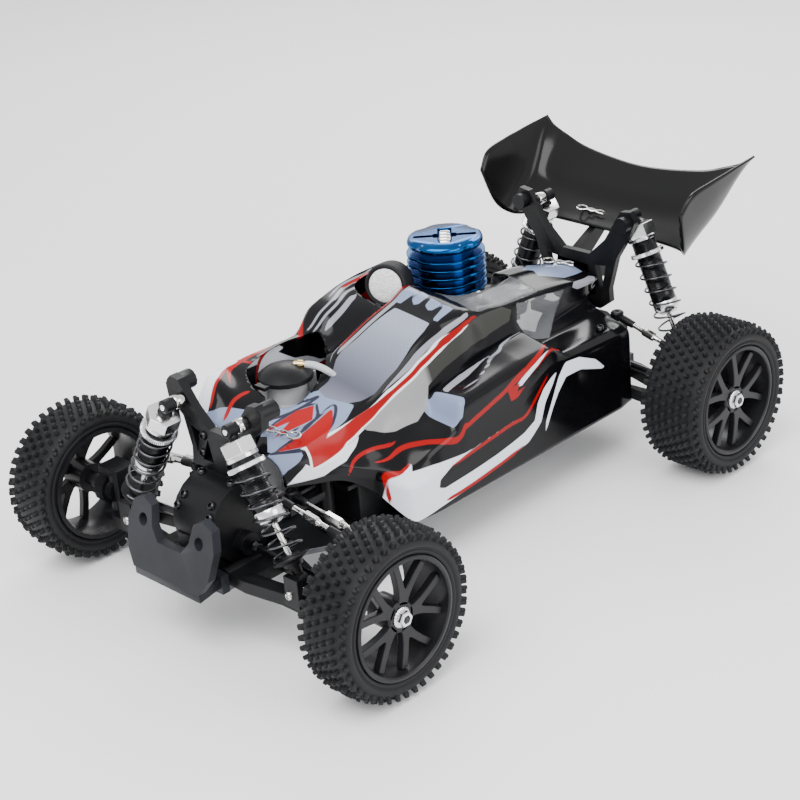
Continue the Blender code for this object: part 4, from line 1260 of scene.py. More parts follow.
def outline_distance(points, outline):
    """Signed distance to a closed outline, negative inside, and the nearest point on it."""
    best = np.full(len(points), np.inf)
    nearest = np.zeros_like(points)
    inside = np.zeros(len(points), bool)
    for a, b in zip(outline, np.roll(outline, -1, axis=0)):
        ab = b - a
        t = np.clip(((points - a) @ ab) / max(ab @ ab, 1e-12), 0, 1)
        on = a + t[:, None] * ab
        d = np.hypot(*(points - on).T)
        closer = d < best
        best[closer], nearest[closer] = d[closer], on[closer]
        crosses = (a[1] > points[:, 1]) != (b[1] > points[:, 1])
        with np.errstate(divide="ignore", invalid="ignore"):
            at = a[0] + (points[:, 1] - a[1]) * (b[0] - a[0]) / (b[1] - a[1])
        inside ^= crosses & (points[:, 0] < at)
    return np.where(inside, -best, best), nearest


def trimmed_skin():
    """Points, faces and (panel, y) of the outer skin, with both openings cut."""
    across, along = SKIN_X.shape[1], SKIN_X.shape[0]
    points = np.array([(SKIN_X[r, c], ROWS[r], SKIN_Z[r, c]) for r in range(along) for c in range(across)])
    places = np.array([(PANELS[c], ROWS[r]) for r in range(along) for c in range(across)])
    gone = np.zeros(len(points), bool)
    for cut in (TANK_CUT, ENGINE_CUT):
        distance, nearest = outline_distance(points[:, :2], closed_curve(cut))
        upper = (places[:, 0] > CUT_PANELS[0]) & (places[:, 0] < CUT_PANELS[1])
        snap = upper & (distance > SNAP[0]) & (distance < SNAP[1])
        points[snap, :2] = nearest[snap]
        gone |= upper & (distance <= SNAP[0])
    faces = []
    for r in range(along - 1):
        for c in range(across - 1):
            corners = (r * across + c, r * across + c + 1, (r + 1) * across + c + 1, (r + 1) * across + c)
            tail = ROWS[r] >= POD_END
            if tail and (PANELS[c] < 4.0 or PANELS[c + 1] > 8.01):
                continue
            if not any(gone[i] for i in corners):
                faces.append(corners)
    used = sorted({i for face in faces for i in face})
    place = {old: new for new, old in enumerate(used)}
    faces = [tuple(place[i] for i in face) for face in faces]
    return points[used], faces, places[used]


SHELL_POINTS, SHELL_FACES, SHELL_PLACES = trimmed_skin()
print("skin:", len(SHELL_POINTS), "points,", len(SHELL_FACES), "faces")

# %% [markdown]
# ## Livery
# The paint is on the inside of the clear sheet, so its edges are crisp under a gloss. A picture mapped on
# the shell would do it, but it would be tied to one size. Here each colour is a list of outlines on the
# shell's own grid, by panel number and y, and each point of the skin stores its signed distance to them
# in true millimetres round the section. The shader cuts that distance at zero, which gives an edge
# far sharper than the mesh, and bands beside an edge come free by cutting at other distances.

# %% Outlines of the livery
MAIN_RED = [(4.95, 24), (4.75, -2), (4.65, -20), (4.65, -48), (4.75, -66), (4.75, -76), (4.6, -96),
            (5.5, -80), (5.3, -106), (5.2, -123), (4.7, -108), (4.35, -108), (2.7, -110), (3.65, -94),
            (4.15, -86), (4.35, -74), (4.5, -60), (4.55, -41), (4.55, -21), (4.6, -3), (4.8, 14)]
RED_AREAS = [
    [(6.0, -84), (6.45, -93), (6.2, -116), (6.05, -104), (5.85, -95)],
    [(1.65, 7), (1.3, 9), (1.25, 14), (1.45, 26), (2.4, 57), (2.2, 57), (1.75, 40), (1.35, 21), (1.4, 14),
     (1.55, 17)],
]
RED_LINES = [
    ([(2.65, -76), (2.95, -61), (2.45, -49), (1.9, -39), (1.55, -29), (1.55, -17), (1.6, -4), (1.65, 7),
      (1.9, 30), (2.5, 57)], 1.35),
    ([(1.0, -40), (0.95, -19), (0.85, 5), (0.75, 18), (0.85, 28), (1.0, 39)], 1.05),
    ([(0.2, -46), (0.2, -33), (0.25, -9), (0.3, 16)], 1.0),
    ([(0.0, -74), (1.6, -74), (2.2, -60)], 0.8),
    ([(1.0, -92), (2.95, -86), (3.45, -73), (3.25, -58)], 1.0),
]
WHITE_AREAS = [
    [(0.0, -76), (1.65, -74), (2.15, -60), (1.8, -62), (1.4, -47), (1.05, -28), (0.95, -7), (0.85, 10),
     (1.0, -18), (1.0, -40), (0.85, -49), (0.65, -50), (0.55, -46), (0.5, -5), (0.5, 17), (0.55, 26),
     (0.75, 29), (0.85, 34), (0.95, 46), (0.8, 42), (0.65, 35), (0.45, 31), (0.3, 20), (0.25, -9),
     (0.1, -51), (0.0, -64)],
    [(0.25, 34), (0.4, 35), (0.65, 42), (0.85, 47), (1.05, 54), (1.0, 65), (0.85, 78), (0.65, 88),
     (0.8, 66), (0.8, 53), (0.65, 46), (0.5, 41)],
    [(2.05, 48), (1.7, 22), (1.55, 14), (1.45, 18), (1.7, 36)],
]
NOSE_WHITE = [(0.4, -127), (1.2, -105), (3.5, -86), (4.2, -77), (3.9, -92), (2.7, -109), (3.4, -113),
              (2.0, -120)]
SILVER_AREAS = [
    [(5.0, 12), (4.85, -10), (4.85, -34), (4.8, -56), (4.75, -48), (4.7, -29), (4.75, -5), (4.9, 12)],
    [(2.85, 15), (2.95, -8), (2.85, -24), (2.65, -24), (2.7, -8)],
]
SLATE_AREAS = [
    [(6.3, -113), (6.6, -98), (6.5, -78), (6.0, -76), (5.1, -72), (4.85, -81), (4.7, -94), (4.6, -106),
     (5.0, -118), (5.35, -126)],
    [(5.3, -128), (4.55, -112), (4.3, -112), (2.9, -124), (2.0, -128)],
    [(6.5, 94), (6.5, 122), (5.5, 122), (5.3, 100), (5.7, 87)],
]
ROOF_FLASHES = [
    [(6.8, 8), (6.45, 8), (6.6, -6), (6.9, -6)],
    [(6.4, 9), (6.1, 8), (6.1, -1), (6.2, -3), (6.4, 0)],
    [(6.0, 7), (5.6, 7), (5.6, -1), (5.7, -2), (5.9, 0)],
    [(5.55, 7), (5.3, 8), (5.1, -6), (5.25, -7)],
]
POD_FACE = [(4.05, -30), (2.1, -23), (1.8, -28), (2.1, -33), (3.8, -35)]
SILVER_LINES = [
    ([(2.45, -23), (2.5, 1), (3.5, 56)], 0.7),
    ([(4.8, 100), (5.1, 124)], 2.4),
]
DARK_LINES = [
    ([(4.7, -96), (5.55, -78), (5.35, -106), (5.2, -126)], 0.9),
    ([(6.0, -82), (6.5, -93), (6.2, -117)], 0.8),
    ([(4.55, -110), (5.3, -127)], 1.0),
]
WINDSCREEN = [(6.6, -10), (5.2, -10), (5.1, -16), (4.95, -41), (4.95, -59), (5.1, -68), (5.3, -73),
              (6.0, -76), (7.0, -74), (6.95, -58), (6.75, -38), (6.65, -16)]
SIDE_WINDOW = [(4.9, 22), (5.0, 40), (4.8, 46), (4.5, 42), (4.35, 18), (4.25, -6), (4.2, -26), (3.6, -33),
               (3.3, -42), (3.6, -56), (4.05, -66), (4.3, -74), (4.45, -60), (4.5, -38), (4.5, -14),
               (4.65, 4)]
REAR_WINDOWS = [[(4.95, 52), (4.8, 92), (3.1, 66), (3.4, 60), (4.4, 48)],
                [(6.95, 16), (6.95, 72), (5.95, 72), (5.2, 64), (5.1, 18), (5.7, 14)]]
RIGHT_RED_LINES = [
    ([(7.1, -46), (7.05, -20), (7.0, 14)], 1.0),
    ([(9.3, 16), (9.2, -2), (9.25, -12)], 0.9),
    ([(8.8, -107), (9.6, -88), (10.1, -70)], 1.1),
    ([(8.25, -124), (8.35, -113), (8.15, -101)], 1.0),
    ([(9.3, -124), (9.45, -113), (9.5, -90), (9.95, -60)], 0.8),
]
RIGHT_WHITE = [(10.6, -126), (10.6, -90), (10.2, -56), (9.95, -62), (9.6, -83), (9.5, -109), (9.4, -126)]
RIGHT_SILVER_LINES = [
    ([(6.95, -50), (6.85, -36), (6.8, -16), (6.85, 10)], 1.2),
    ([(9.5, -44), (9.35, -36), (9.15, 0)], 0.8),
    ([(9.2, -44), (9.05, -34), (8.85, 0)], 0.8),
    ([(8.75, -40), (8.7, -10)], 1.6),
]

# %% [markdown]
# The grid's columns are not evenly spaced round the shell, so a distance in panels means little. Each
# outline corner is therefore moved to its real distance round the section before anything is measured.

# %% Measure each point's distance to each colour


def round_section(start):
    """Distance round each section from a panel number, to every column."""
    steps = np.hypot(np.diff(SKIN_X, axis=1), np.diff(SKIN_Z, axis=1))
    total = np.concatenate([np.zeros((len(ROWS), 1)), np.cumsum(steps, axis=1)], axis=1)
    return total - total[:, [int(np.argmin(np.abs(PANELS - start)))]]


FROM = {"roof": round_section(6.0), "left_edge": round_section(0.0), "right_edge": round_section(12.0)}


def nearest_start(places):
    """Shapes on a flank are measured from its lower edge, which is straight, and others from the roof."""
    middle = float(np.mean([panel for panel, _ in places]))
    return "left_edge" if middle < 2.0 else "right_edge" if middle > 10.0 else "roof"


def unrolled(places, start):
    """(panel, y) places as (millimetres round the section, y)."""
    places = np.asarray(places, float)
    reaches = FROM[start]
    row = np.interp(places[:, 1], ROWS, np.arange(len(ROWS)))
    column = np.interp(places[:, 0], PANELS, np.arange(len(PANELS)))
    r = np.minimum(row.astype(int), len(ROWS) - 2)
    c = np.minimum(column.astype(int), len(PANELS) - 2)
    fr, fc = row - r, column - c
    reach = ((reaches[r, c] * (1 - fc) + reaches[r, c + 1] * fc) * (1 - fr)
             + (reaches[r + 1, c] * (1 - fc) + reaches[r + 1, c + 1] * fc) * fr)
    return np.stack([reach, places[:, 1]], axis=1)


print("measured from", ", ".join(FROM))

# %% [markdown]
# An outline gets extra corners before it is unrolled, so that its straight stretches follow the curved
# skin. Lines are narrow at their ends, like the strokes of a brush.

# %% Distances to areas and lines


def dense(places, per_span=4):
    """More corners between the given ones, so that an outline follows the curved skin."""
    places = np.asarray(places, float)
    parts = [places[i] + (places[i + 1] - places[i]) * k / per_span
             for i in range(len(places) - 1) for k in range(per_span)]
    return np.array(parts + [places[-1]])


def eased_line(places, per_span=6):
    """A smooth open line through (panel, y) places."""
    return np.array([(p.x, p.y) for p in smooth_path([(*place, 0) for place in places], per_span)])


def line_distance(points, line, half_width):
    """Distance to a line that thins out towards both of its ends, less its half width."""
    best = np.full(len(points), np.inf)
    count = len(line) - 1
    for i in range(count):
        a, ab = line[i], line[i + 1] - line[i]
        t = np.clip(((points - a) @ ab) / max(ab @ ab, 1e-12), 0, 1)
        along = (i + t) / count
        width = half_width * np.clip(np.minimum(along, 1 - along) * 7 + 0.25, 0, 1)
        best = np.minimum(best, np.hypot(*(points - a - t[:, None] * ab).T) - width)
    return best


def mirrored_places(places):
    return [(12.0 - panel, y) for panel, y in places]


SKIN_PLACES = {start: unrolled(SHELL_PLACES, start) for start in FROM}


def nearest_area(areas, both=True):
    best = np.full(len(SHELL_PLACES), 60.0)
    for area in areas:
        for places in (area, mirrored_places(area)) if both else (area,):
            start = nearest_start(places)
            outline = unrolled(dense(list(places) + [places[0]]), start)[:-1]
            best = np.minimum(best, outline_distance(SKIN_PLACES[start], outline)[0])
    return best


def nearest_line(lines, both=True):
    best = np.full(len(SHELL_PLACES), 60.0)
    for line, half_width in lines:
        for places in (line, mirrored_places(line)) if both else (line,):
            start = nearest_start(places)
            line_here = unrolled(eased_line(places), start)
            best = np.minimum(best, line_distance(SKIN_PLACES[start], line_here, half_width))
    return best


print("distance helpers ready")

# %% [markdown]
# Most shapes are given once and mirrored. The nose, the roof flashes and the windows differ from side to
# side, because the fuel tank's opening and the engine take up the right half.

# %% Measure the whole livery
LIVERY = {
    "red": np.minimum.reduce([nearest_area([MAIN_RED], both=False), nearest_area(RED_AREAS),
                              nearest_line(RED_LINES), nearest_line(RIGHT_RED_LINES, both=False)]),
    "main_red": nearest_area([MAIN_RED], both=False),
    "white": np.minimum(nearest_area(WHITE_AREAS), nearest_area([NOSE_WHITE, RIGHT_WHITE], both=False)),
    "silver": np.minimum.reduce([nearest_area(SILVER_AREAS), nearest_line(SILVER_LINES),
                                 nearest_line(RIGHT_SILVER_LINES, both=False)]),
    "slate": np.minimum(nearest_area(SLATE_AREAS), nearest_area([POD_FACE, *ROOF_FLASHES], both=False)),
    "dark": nearest_line(DARK_LINES),
    "screen": nearest_area([WINDSCREEN], both=False),
    "side": nearest_area([SIDE_WINDOW], both=False),
    "rear": nearest_area(REAR_WINDOWS),
}
for name, distance in LIVERY.items():
    print(f"{name:9s} covers {int((distance < 0).sum()):5d} points")

# %% [markdown]
# ## Paint
# The colours are laid over each other from the base up, as the real ones are masked and sprayed in
# turn. The rear windows stay unpainted, so there the sheet is a smoky film that lets the inside show.
# The windscreen and the side windows are opaque, with painted reflection and painted shade on them.
# Orange peel is far too fine to model: a weak Bump ripples the highlights instead.

# %% Mix the paint


def shell_paint():
    mix = Finish("Painted polycarbonate", (0.012, 0.012, 0.015), 0.13, specular_ior_level=0.2)
    cloud = mix.noise(26.0, 2.0)
    across, along, _ = mix.xyz()
    weave = (across * 2600.0).wave() * (along * 2600.0).wave()
    inside = {name: 1 - mix.attribute(name).above(0.0, 0.35) for name in LIVERY}
    beside_red = (1 - mix.attribute("main_red").above(1.5, 0.35)) * mix.attribute("lower").above(0.5, 0.1)
    colour = mix.blend(cloud.above(0.55, 0.6), (0.0015, 0.0015, 0.002), (0.005, 0.005, 0.007))
    colour = mix.blend(inside["silver"], colour, (0.26, 0.27, 0.31))
    colour = mix.blend(inside["slate"], colour, mix.blend(cloud.above(0.5, 0.8), (0.17, 0.215, 0.34),
                                                          (0.23, 0.28, 0.41)))
    colour = mix.blend(inside["white"], colour, mix.blend(cloud.above(0.5, 0.8), (0.62, 0.66, 0.75),
                                                          (0.80, 0.82, 0.88)))
    colour = mix.blend(beside_red, colour, (0.82, 0.83, 0.86))
    colour = mix.blend(inside["dark"], colour, (0.02, 0.022, 0.04))
    # The red turns a little lighter towards the nose, ahead of about y = -54 mm.
    toward_nose = (along * -12.5 + 0.1).clamp()
    red = mix.blend(toward_nose.above(0.95, 0.35), (0.27, 0.0005, 0.001), (0.33, 0.004, 0.006))
    colour = mix.blend(inside["red"], colour, red)
    # Painted reflection: the windscreen is darkest across y = -62 mm and lighter towards both of its ends.
    screen_painted_reflection = ((along + 0.062).fold() * 24.0).clamp()
    screen = mix.blend(screen_painted_reflection, (0.08, 0.083, 0.115), (0.28, 0.31, 0.385))
    screen = mix.blend(weave.above(0.0, 1.0) * 0.16, screen, (0.12, 0.12, 0.15))
    colour = mix.blend(inside["screen"], colour, screen)
    # Painted light and painted shade: the side window is light grey ahead of y = -24 mm and nearly black
    # behind it, standing in for the inside seen through a clear window.
    side = mix.blend(along.above(-0.024, 0.004), (0.27, 0.27, 0.275), (0.035, 0.035, 0.032))
    colour = mix.blend(inside["side"], colour, side)
    colour = mix.blend(inside["rear"], colour, (0.13, 0.135, 0.145))
    mix.set("Base Color", colour)
    mix.set("Alpha", 1 - inside["rear"] * 0.45)
    mix.set("Roughness", cloud * 0.08 + 0.09 + inside["screen"] * 0.12)
    mix.bump(mix.noise(120.0, 1.0), 0.015)
    return mix.material


PAINT = shell_paint()
print("paint nodes:", len(PAINT.node_tree.nodes))

# %% Make the shell


def make_shell():
    shell = add_piece("painted_shell", SHELL_POINTS, SHELL_FACES, PAINT, smooth=60)
    normal = shell.data.polygons[len(shell.data.polygons) // 2].normal
    if normal.z < 0:
        shell.data.flip_normals()
    from_side = np.minimum(SHELL_PLACES[:, 0], 12 - SHELL_PLACES[:, 0])
    distances = dict(LIVERY, lower=np.where(from_side < 4.72, 1.0, 0.0))
    for name, distance in distances.items():
        layer = shell.data.attributes.new(name, "FLOAT", "POINT")
        layer.data.foreach_set("value", distance.astype(np.float32))
    wall = shell.modifiers.new("Sheet", "SOLIDIFY")
    wall.thickness = 1.1 * MM
    wall.offset = -1.0
    wall.use_even_offset = False
    apply_modifiers(shell)
    fit(shell, "chassis", "shell", "body_shell")
    print("shell faces:", len(shell.data.polygons))


make_shell()

# %% [markdown]
# ## Rear wing
# The wing is one gloss nylon moulding: a trough whose blade curls up behind and flares into an end plate
# at each side. It could be a bevelled box, but the bend has to flow, so it is lofted like the shell:
# six stations along its chord, each from the middle out to the top of a plate, with a smooth curve
# through them both ways, and a Solidify for the wall. Its clips are bent wire.

# %% Loft the wing
WING_STATIONS = [
    [(0, 151.5, 113), (38, 151.5, 113), (56, 150, 112), (64, 144, 112.5), (69, 136, 121), (73, 129.6, 142)],
    [(0, 160, 116), (40, 160, 116.5), (58, 158, 117.5), (66, 154, 121), (70.5, 149, 132), (74.5, 138, 151.5)],
    [(0, 170, 120.5), (40, 170.5, 122), (58, 170, 124.5), (67, 168, 129), (72, 164, 140), (75.5, 156, 154.5)],
    [(0, 175.5, 128), (40, 176.5, 129.5), (59, 177, 132.5), (68, 176, 136), (72.5, 173, 144),
     (75.8, 167, 155.5)],
    [(0, 182, 134), (40, 183.5, 136.5), (60, 184.5, 141), (69, 184.5, 145), (73.5, 183, 150),
     (76, 179, 156.7)],
    [(0, 189, 140.6), (40, 191, 144), (60, 192.8, 149.5), (69.5, 193.8, 153), (73.5, 194.6, 155.6),
     (76.3, 195.2, 158)],
]
WING_WALL = 1.4
WING_GLOSS = gloss_enamel("Wing gloss", (0.003, 0.003, 0.0035), 0.14)


def make_wing():
    stations = [[(-x, y, z) for x, y, z in station[:0:-1]] + station for station in WING_STATIONS]
    across = [smooth_path(station, 6) for station in stations]
    columns = [smooth_path([row[c] for row in across], 6) for c in range(len(across[0]))]
    count = len(columns[0])
    points = [point for column in columns for point in column]
    faces = [(c * count + r, (c + 1) * count + r, (c + 1) * count + r + 1, c * count + r + 1)
             for c in range(len(columns) - 1) for r in range(count - 1)]
    wing = add_piece("wing", points, faces, WING_GLOSS, smooth=50)
    upward = sum(face.normal.z for face in wing.data.polygons)
    if upward < 0:
        wing.data.flip_normals()
    wall = wing.modifiers.new("Wall", "SOLIDIFY")
    wall.thickness = WING_WALL * MM
    wall.offset = -1.0
    apply_modifiers(wing)
    fit(wing, "chassis", "wing", "rear_wing")
    print("wing faces:", len(wing.data.polygons))


make_wing()

# %% Body and wing clips


def body_clip(name, at, pull, size=1.0):
    """A bent wire clip: a ring to pull and two wavy legs that grip the post."""
    at, pull = Vector(at), Vector(pull).normalized()
    side = Vector((0, 0, 1)).cross(pull).normalized()
    lift = Vector((0, 0, 1))
    flat = [(-7.0, -1.2), (-3.5, -2.4), (-0.5, -1.0), (2.5, -2.0), (6.0, -1.2), (8.0, -3.2), (11.5, -3.4),
            (13.5, 0), (11.5, 3.4), (8.0, 3.2), (6.0, 1.2), (2.5, 2.0), (-0.5, 1.0), (-3.5, 2.4), (-8.0, 2.8)]
    path = [at + (pull * along + side * across) * size + lift * (0.05 * along) for along, across in flat]
    return swept(name, smooth_path(path, 4), 0.55, CHROME, sides=8)


CLIP_WIRES = [body_clip("nose_clip", (4.5, -113.0, 89.0), (0.95, 0.25, -0.12), 0.95),
              body_clip("deck_clip", (-3, 119, 101.6), (-0.9, -0.35, 0.0), 0.9)]
for name, side in SIDES:
    CLIP_WIRES.append(body_clip(f"wing_clip_{name}", (side * 13, 161.0, 118.3), (side, -0.2, 0.05), 0.85))
print("wing and", len(CLIP_WIRES), "clips")

# %% [markdown]
# ## Engine
# The crankcase is a bead-blasted casting, the carburettor is black, and the head is turned from bar and
# dyed blue: five thin fins with a wavy edge, each cut from a disc, under a cap with a cross slot and a
# bright ribbed glow plug. Fins could be an Array, but each scallop is part of the disc's outline, so the
# disc is one wavy outline that a loop pushes up at each fin's height.

# %% Crankcase, cylinder and carburettor
HEAD = Vector((-26.1, 47.0, 0.0))


def disc(name, radius_at, low, high, bevel=0.35, steps=96):
    """A flat blue disc on the head's axis, whose radius follows its angle."""
    outline = []
    for k in range(steps):
        turn = 2 * math.pi * k / steps
        reach = radius_at(turn)
        outline.append((HEAD.x + reach * math.cos(turn), HEAD.y + reach * math.sin(turn)))
    return pushed(name, outline, "z", low, high, BLUE, bevel)


def scallops(turn):
    """The radius of the head's fins: round, with four small bites."""
    return 22.1 - 1.5 * max(0.0, math.cos(4 * turn + 0.6)) ** 3


case = moulded_copy("engine_block", CAST, 0.7)
RINGS_ON_CYLINDER = [(height, 17.2, 1.4) for height in (74, 80, 86)] + [(97, 18.6, 3.0)]
cylinder_rings = [turned("cylinder_ring", rounded([(0, 0), (0, radius), (thick, radius), (thick, 0)], 0.2, 1),
                         HEAD + Vector((0, 0, height)), (0, 0, 1), CAST)
                  for height, radius, thick in RINGS_ON_CYLINDER]
engine = joined("crankcase_and_cylinder", [case] + cylinder_rings)
fit(engine, "chassis", "silver", "engine_block")

# %% Blue head
FINS = 5
FIN_LOW, FIN_THICK, FIN_PITCH = 107.6, 1.5, 4.8
CAP_LOW, CAP_HIGH = 131.6, 136.8
SLOT_ANGLE = math.radians(44)
fins = [disc(f"fin_{i}", scallops, FIN_LOW + FIN_PITCH * i, FIN_LOW + FIN_THICK + FIN_PITCH * i)
        for i in range(FINS)]
core = turned("head_core", [(0, 0), (0, 15.5), (25.5, 15.5), (25.5, 0)], HEAD + Vector((0, 0, 107.1)),
              (0, 0, 1), BLUE)
cap = disc("head_cap", lambda turn: scallops(turn) - 0.8, CAP_LOW, CAP_HIGH, 2.2)
ACROSS = Vector((math.cos(SLOT_ANGLE), math.sin(SLOT_ANGLE), 0))
ALONG = Vector((-ACROSS.y, ACROSS.x, 0))


def cut_slot(made, slots):
    """Cuts the cross in the cap: each slot has half its length, half its width and its floor."""
    for half_length, half_width, floor in slots:
        corners = [HEAD + ACROSS * (half_length * a) + ALONG * (half_width * b)
                   for a, b in ((-1, -1), (1, -1), (1, 1), (-1, 1))]
        cutter = pushed("cutter", [(corner.x, corner.y) for corner in corners], "z", floor, 140, BLUE)
        bite = made.modifiers.new("Slot", "BOOLEAN")
        bite.operation = "DIFFERENCE"
        bite.solver = "EXACT"
        bite.object = cutter
        apply_modifiers(made)
        bpy.data.objects.remove(cutter)
    shade(made.data, 30)
    return made


cut_slot(cap, [(17.5, 1.7, 134.6), (4.0, 11.5, 132.4), (6.5, 3.2, 133.6)])
plug_ribs = [turned(f"plug_rib_{i}", rounded([(-3.4, 0), (-3.4, 2.0), (3.4, 2.0), (3.4, 0)], 0.25, 2),
                    HEAD + ALONG * (i * 4.6) + Vector((0, 0, 134.2)), ACROSS, CHROME, steps=28)
             for i in (-2, -1, 0, 1, 2)]
head = joined("blue_head", fins + [core, cap] + plug_ribs)
fit(head, "chassis", "blue_metal", "cylinder_head")
print("head faces:", len(head.data.polygons))

# %% [markdown]
# ## Air filter
# A white foam disc held in a black rubber ring, on a rubber elbow over the carburettor. The foam is
# crowned and its cells come from a Voronoi bump.

# %% Filter and elbow
FILTER_AXIS = Vector((0.42, -0.88, 0.2)).normalized()
FILTER_BACK = Vector((-37, 16.0, 117.5))
ELBOW = [(-26.1, 25, 88.9), (-26.1, 25, 95), (-28, 23, 103), (-32, 19.5, 111), (-33.6, 17.2, 115)]
part = turned_on(FILTER_BACK, FILTER_AXIS)
ring = part("filter_ring", rounded([(0.3, 0), (0.3, 11.0), (1.2, 12.2), (14.4, 12.2), (15.6, 11.4),
                                    (15.6, 10.3), (14.6, 10.2), (14.6, 0)], 0.22, 2), RUBBER, 72)
foam = part("filter_foam", rounded([(2, 0), (2, 10.1), (14.6, 10.1), (15.7, 8.0), (16.1, 0)], 0.22, 2),
            FOAM, 72)
elbow = swept("filter_elbow", smooth_path(ELBOW, 6), 6.0, RUBBER, 24)
air_filter = fit(joined("air_filter_assembly", [ring, foam, elbow]), "chassis", "foam", "air_filter")
print("filter faces:", len(air_filter.data.polygons))

# %% [markdown]
# ## Exhaust, tank and lid
# The exhaust is cast black, the tank is smoke-coloured polypropylene and the lid is black nylon with a
# finger tab. Their shapes are right in the frame, so they only need broken edges and a finish.

# %% Exhaust, tank and lid
fit(moulded_copy("exhaust_pipe", BLACK_ENAMEL, 0.8), "chassis", "black_plastic", "exhaust_pipe")
fit(moulded_copy("fuel_tank", TANK, 1.2), "chassis", "tank", "fuel_tank")
fit(moulded_copy("fuel_tank_lid", NYLON, 0.9), "fuel_tank_lid", "black_plastic", "fuel_tank_lid")
print("pieces so far:", len(PIECES))

# %% [markdown]
# ## Gears
# The spur gear is machined steel and the clutch bell is hardened. Both keep the frame's teeth, with
# their tips broken. The clips made beside the wing are joined here into one piece.

# %% Gears and clips
fit(moulded_copy("spur_gear", DARK_STEEL, 0.15), "spur_gear", "dark_steel", "spur_gear")
fit(moulded_copy("clutch_bell", CHROME, 0.15), "clutch_bell", "steel", "clutch_bell")
fit(joined("body_clips", CLIP_WIRES), "chassis", "steel")
print("pieces so far:", len(PIECES))


# %% [markdown]
# ## Screws and pins
# Button-head screws hold the towers and gearboxes, countersunk ones hold everything to the plate from
# below, and the hinge pins end in small heads. One template of each is placed by the tree: the only
# thing that differs from screw to screw is its place, its direction and how far it happens to be turned.

# %% Place the screws
FORWARD, BACKWARD, UPWARD, DOWNWARD = (0, -1, 0), (0, 1, 0), (0, 0, 1), (0, 0, -1)
part = turned_on((0, 0, 0), UPWARD)
screw = template(part("button_head", [(-0.6, 0), (-0.6, 2.3), (0.9, 2.3), (1.5, 1.9), (1.75, 1.3),
                                      (1.6, 1.15), (0.5, 1.1), (0.5, 0)], NYLON, 20))
flat_screw = template(part("flat_head", [(-0.8, 0), (-0.8, 1.6), (0.15, 2.9), (0.2, 1.3), (-0.5, 1.1),
                                         (-0.5, 0)], NYLON, 20))
BLACK_SCREWS = [((0, 131.2, 80), BACKWARD), ((0, 131.2, 96), BACKWARD)]
PLATE_UNDERSIDE = 27
PLATE_PLACES = [(0, 138), (-20, 30), (-32, 62), (35, -12), (35, 35), (18, -62), (-28, -70)]
for name, side in SIDES:
    BLACK_SCREWS += [((side * 12.4, -148.5, 86.8), FORWARD), ((side * 10.5, -148.5, 96.8), FORWARD),
                     ((side * 10.5, -165.3, 71.1), (0, -0.71, 0.71)),
                     ((side * 12.2, -168.6, 66.2), (0, -0.89, 0.45)),
                     ((side * 11.2, -152.2, 77.8), UPWARD), ((side * 10, 142.6, 60), BACKWARD),
                     ((side * 26, 131.2, 112), BACKWARD)]
    PLATE_PLACES += [(side * 18, y) for y in (-152, -112, 118)]
    pin = placed(f"front_{name}_pin_head", screw, [((side * 62.6, -165.6, 39.3), FORWARD)], CHROME)
    fit(pin, f"front_{name}_arm", "steel")
BLACK_SCREWS += [((44.8, 92.8, 81.2), (0.17, 0.05, 0.98)), ((-44.8, 92.8, 84.9), (-0.1, 0.05, 0.98))]
fit(placed("black_screws", screw, BLACK_SCREWS, DARK_STEEL, turn_jitter=3.1, seed=3), "chassis", "dark_steel")
PLATE_SCREWS = [((x, y, PLATE_UNDERSIDE), DOWNWARD) for x, y in PLATE_PLACES]
fit(placed("plate_screws", flat_screw, PLATE_SCREWS, CHROME, turn_jitter=3.1, seed=5), "chassis", "steel")
print("screws:", len(BLACK_SCREWS) + len(PLATE_SCREWS))

# %% [markdown]
# ## Pressure nipple
# The tank is pressed by the exhaust through a brass nipple on its lid. A clear tube leaves it and goes
# in under the windscreen. Only its first few centimetres exist here, so it is part of the lid.

# %% Nipple and tube
AWAY = Vector((0.68, 0.62, -0.12)).normalized()
NIPPLE = Vector((-23.0, -73.0, 104.2))
nipple = turned("nipple", [(-1.5, 0), (-1.5, 1.5), (0.6, 1.5), (0.6, 2.3), (3.4, 2.3), (3.4, 1.5), (4.2, 1.5),
                           (4.8, 1.9), (6.2, 1.3), (6.2, 0)], NIPPLE, AWAY, BRASS, 24)
boss = turned("nipple_boss", rounded([(0, 0), (0, 3.4), (3.2, 2.8), (3.2, 0)], 0.25, 1),
              (-23.4, -73.4, 101.6), UPWARD, NYLON, 32)
TUBE_ROUTE = [NIPPLE + AWAY * 4.4, NIPPLE + AWAY * 9, (-11.5, -62.5, 99.5), (-6.5, -58.5, 93.5)]
tube = swept("pressure_tube", smooth_path(TUBE_ROUTE, 6), 1.9, CLEAR_TUBE, 16)
fit(joined("lid_nipple", [nipple, boss]), "fuel_tank_lid", "steel")
fit(tube, "fuel_tank_lid", "tank")
print("nipple and tube ride on the lid")

# %% [markdown]
# ## Shock bushings
# Each shock hangs on a long screw, and a bright bushing keeps it clear of the tower. The bushings are
# the only nickel-plated things up there, and they catch the light.

# %% Bushings
BUSHING_ENDS = (("front", FORWARD, (23.7, 113.5), (149.0, 154.6)),
                ("rear", BACKWARD, (32.2, 130.4), (131.7, 137.4)))
BUSHINGS = []
for end, ahead, (x, z), (low, high) in BUSHING_ENDS:
    for name, side in SIDES:
        profile = rounded([(low, 0), (low, 3.7), (high, 3.7), (high, 0)], 0.12, 1)
        BUSHINGS.append(turned(f"bushing_{end}_{name}", profile, (side * x, 0, z), ahead, CHROME, 32))
fit(joined("shock_bushings", BUSHINGS), "chassis", "steel")
print("bushings:", len(BUSHINGS))

# %% [markdown]
# ## Studio
# A pale floor that runs up into a pale backdrop colour, one big soft light over the left of the nose,
# a fill from the right and a strip behind for the edges of the black parts.

# %% Floor, lights and camera


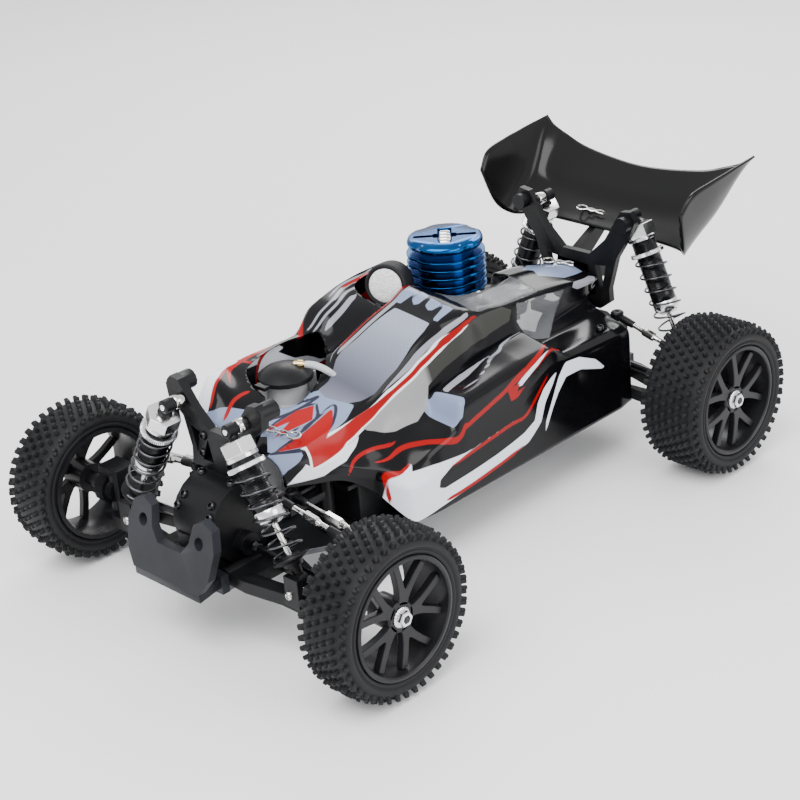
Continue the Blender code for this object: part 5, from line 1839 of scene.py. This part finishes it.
def soft_light(name, place, aim, size, watts):
    light = bpy.data.lights.new(name, "AREA")
    light.shape = "RECTANGLE"
    light.size, light.size_y = size
    light.energy = watts
    made = new_object(name, light)
    made.location = place
    made.rotation_euler = (Vector(aim) - Vector(place)).to_track_quat("-Z", "Y").to_euler()
    return made


def studio_floor():
    mesh = bpy.data.meshes.new("floor")
    reach = 6.0
    mesh.from_pydata([(-reach, -reach, 0), (reach, -reach, 0), (reach, reach, 0), (-reach, reach, 0)], [],
                     [(0, 1, 2, 3)])
    floor = new_object("floor", mesh)
    mix = Finish("Pale floor", (0.93, 0.93, 0.935), 0.6)
    mesh.materials.append(mix.material)
    return floor


def studio_world():
    world = bpy.data.worlds.new("Studio")
    world.use_nodes = True
    sky = world.node_tree.nodes["Background"]
    sky.inputs["Color"].default_value = (1.0, 1.0, 1.0, 1.0)
    sky.inputs["Strength"].default_value = 1.25
    bpy.context.scene.world = world


def aim_camera(azimuth, elevation, roll, target, distance, lens):
    a, e, r = (math.radians(value) for value in (azimuth, elevation, roll))
    back = Vector((math.sin(a) * math.cos(e), -math.cos(a) * math.cos(e), math.sin(e)))
    right = Vector((math.cos(a), math.sin(a), 0))
    up = back.cross(right)
    right, up = right * math.cos(r) + up * math.sin(r), up * math.cos(r) - right * math.sin(r)
    camera = new_object("camera", bpy.data.cameras.new("camera"))
    camera.data.lens = lens
    camera.data.sensor_width = 36.0
    camera.data.clip_start = 0.01
    turn = Matrix((right, up, back)).transposed().to_4x4()
    turn.translation = (Vector(target) + back * distance) * MM
    camera.matrix_world = turn
    bpy.context.scene.camera = camera
    return camera


studio_floor()
studio_world()
soft_light("key", (0.25, -0.75, 1.25), aim=(0, 0, 0.05), size=(1.1, 0.9), watts=24.0)
soft_light("fill", (1.2, 0.1, 0.7), aim=(0, 0, 0.08), size=(0.8, 0.8), watts=9.0)
soft_light("rim", (-0.6, 0.9, 0.8), aim=(0, 0, 0.08), size=(1.0, 0.4), watts=9.0)
aim_camera(azimuth=46.6, elevation=25.16, roll=-5.02, target=(104.95, -121.87, 137.58), distance=893.79,
           lens=87.9)
print("studio ready")

# %% [markdown]
# ## Clean up
# The templates go, and the number of pieces and of their faces is printed.

# %% Clean up and finish
for made in TEMPLATES:
    bpy.data.objects.remove(made)
print("pieces:", len(PIECES), "faces:", sum(PIECES.values()))
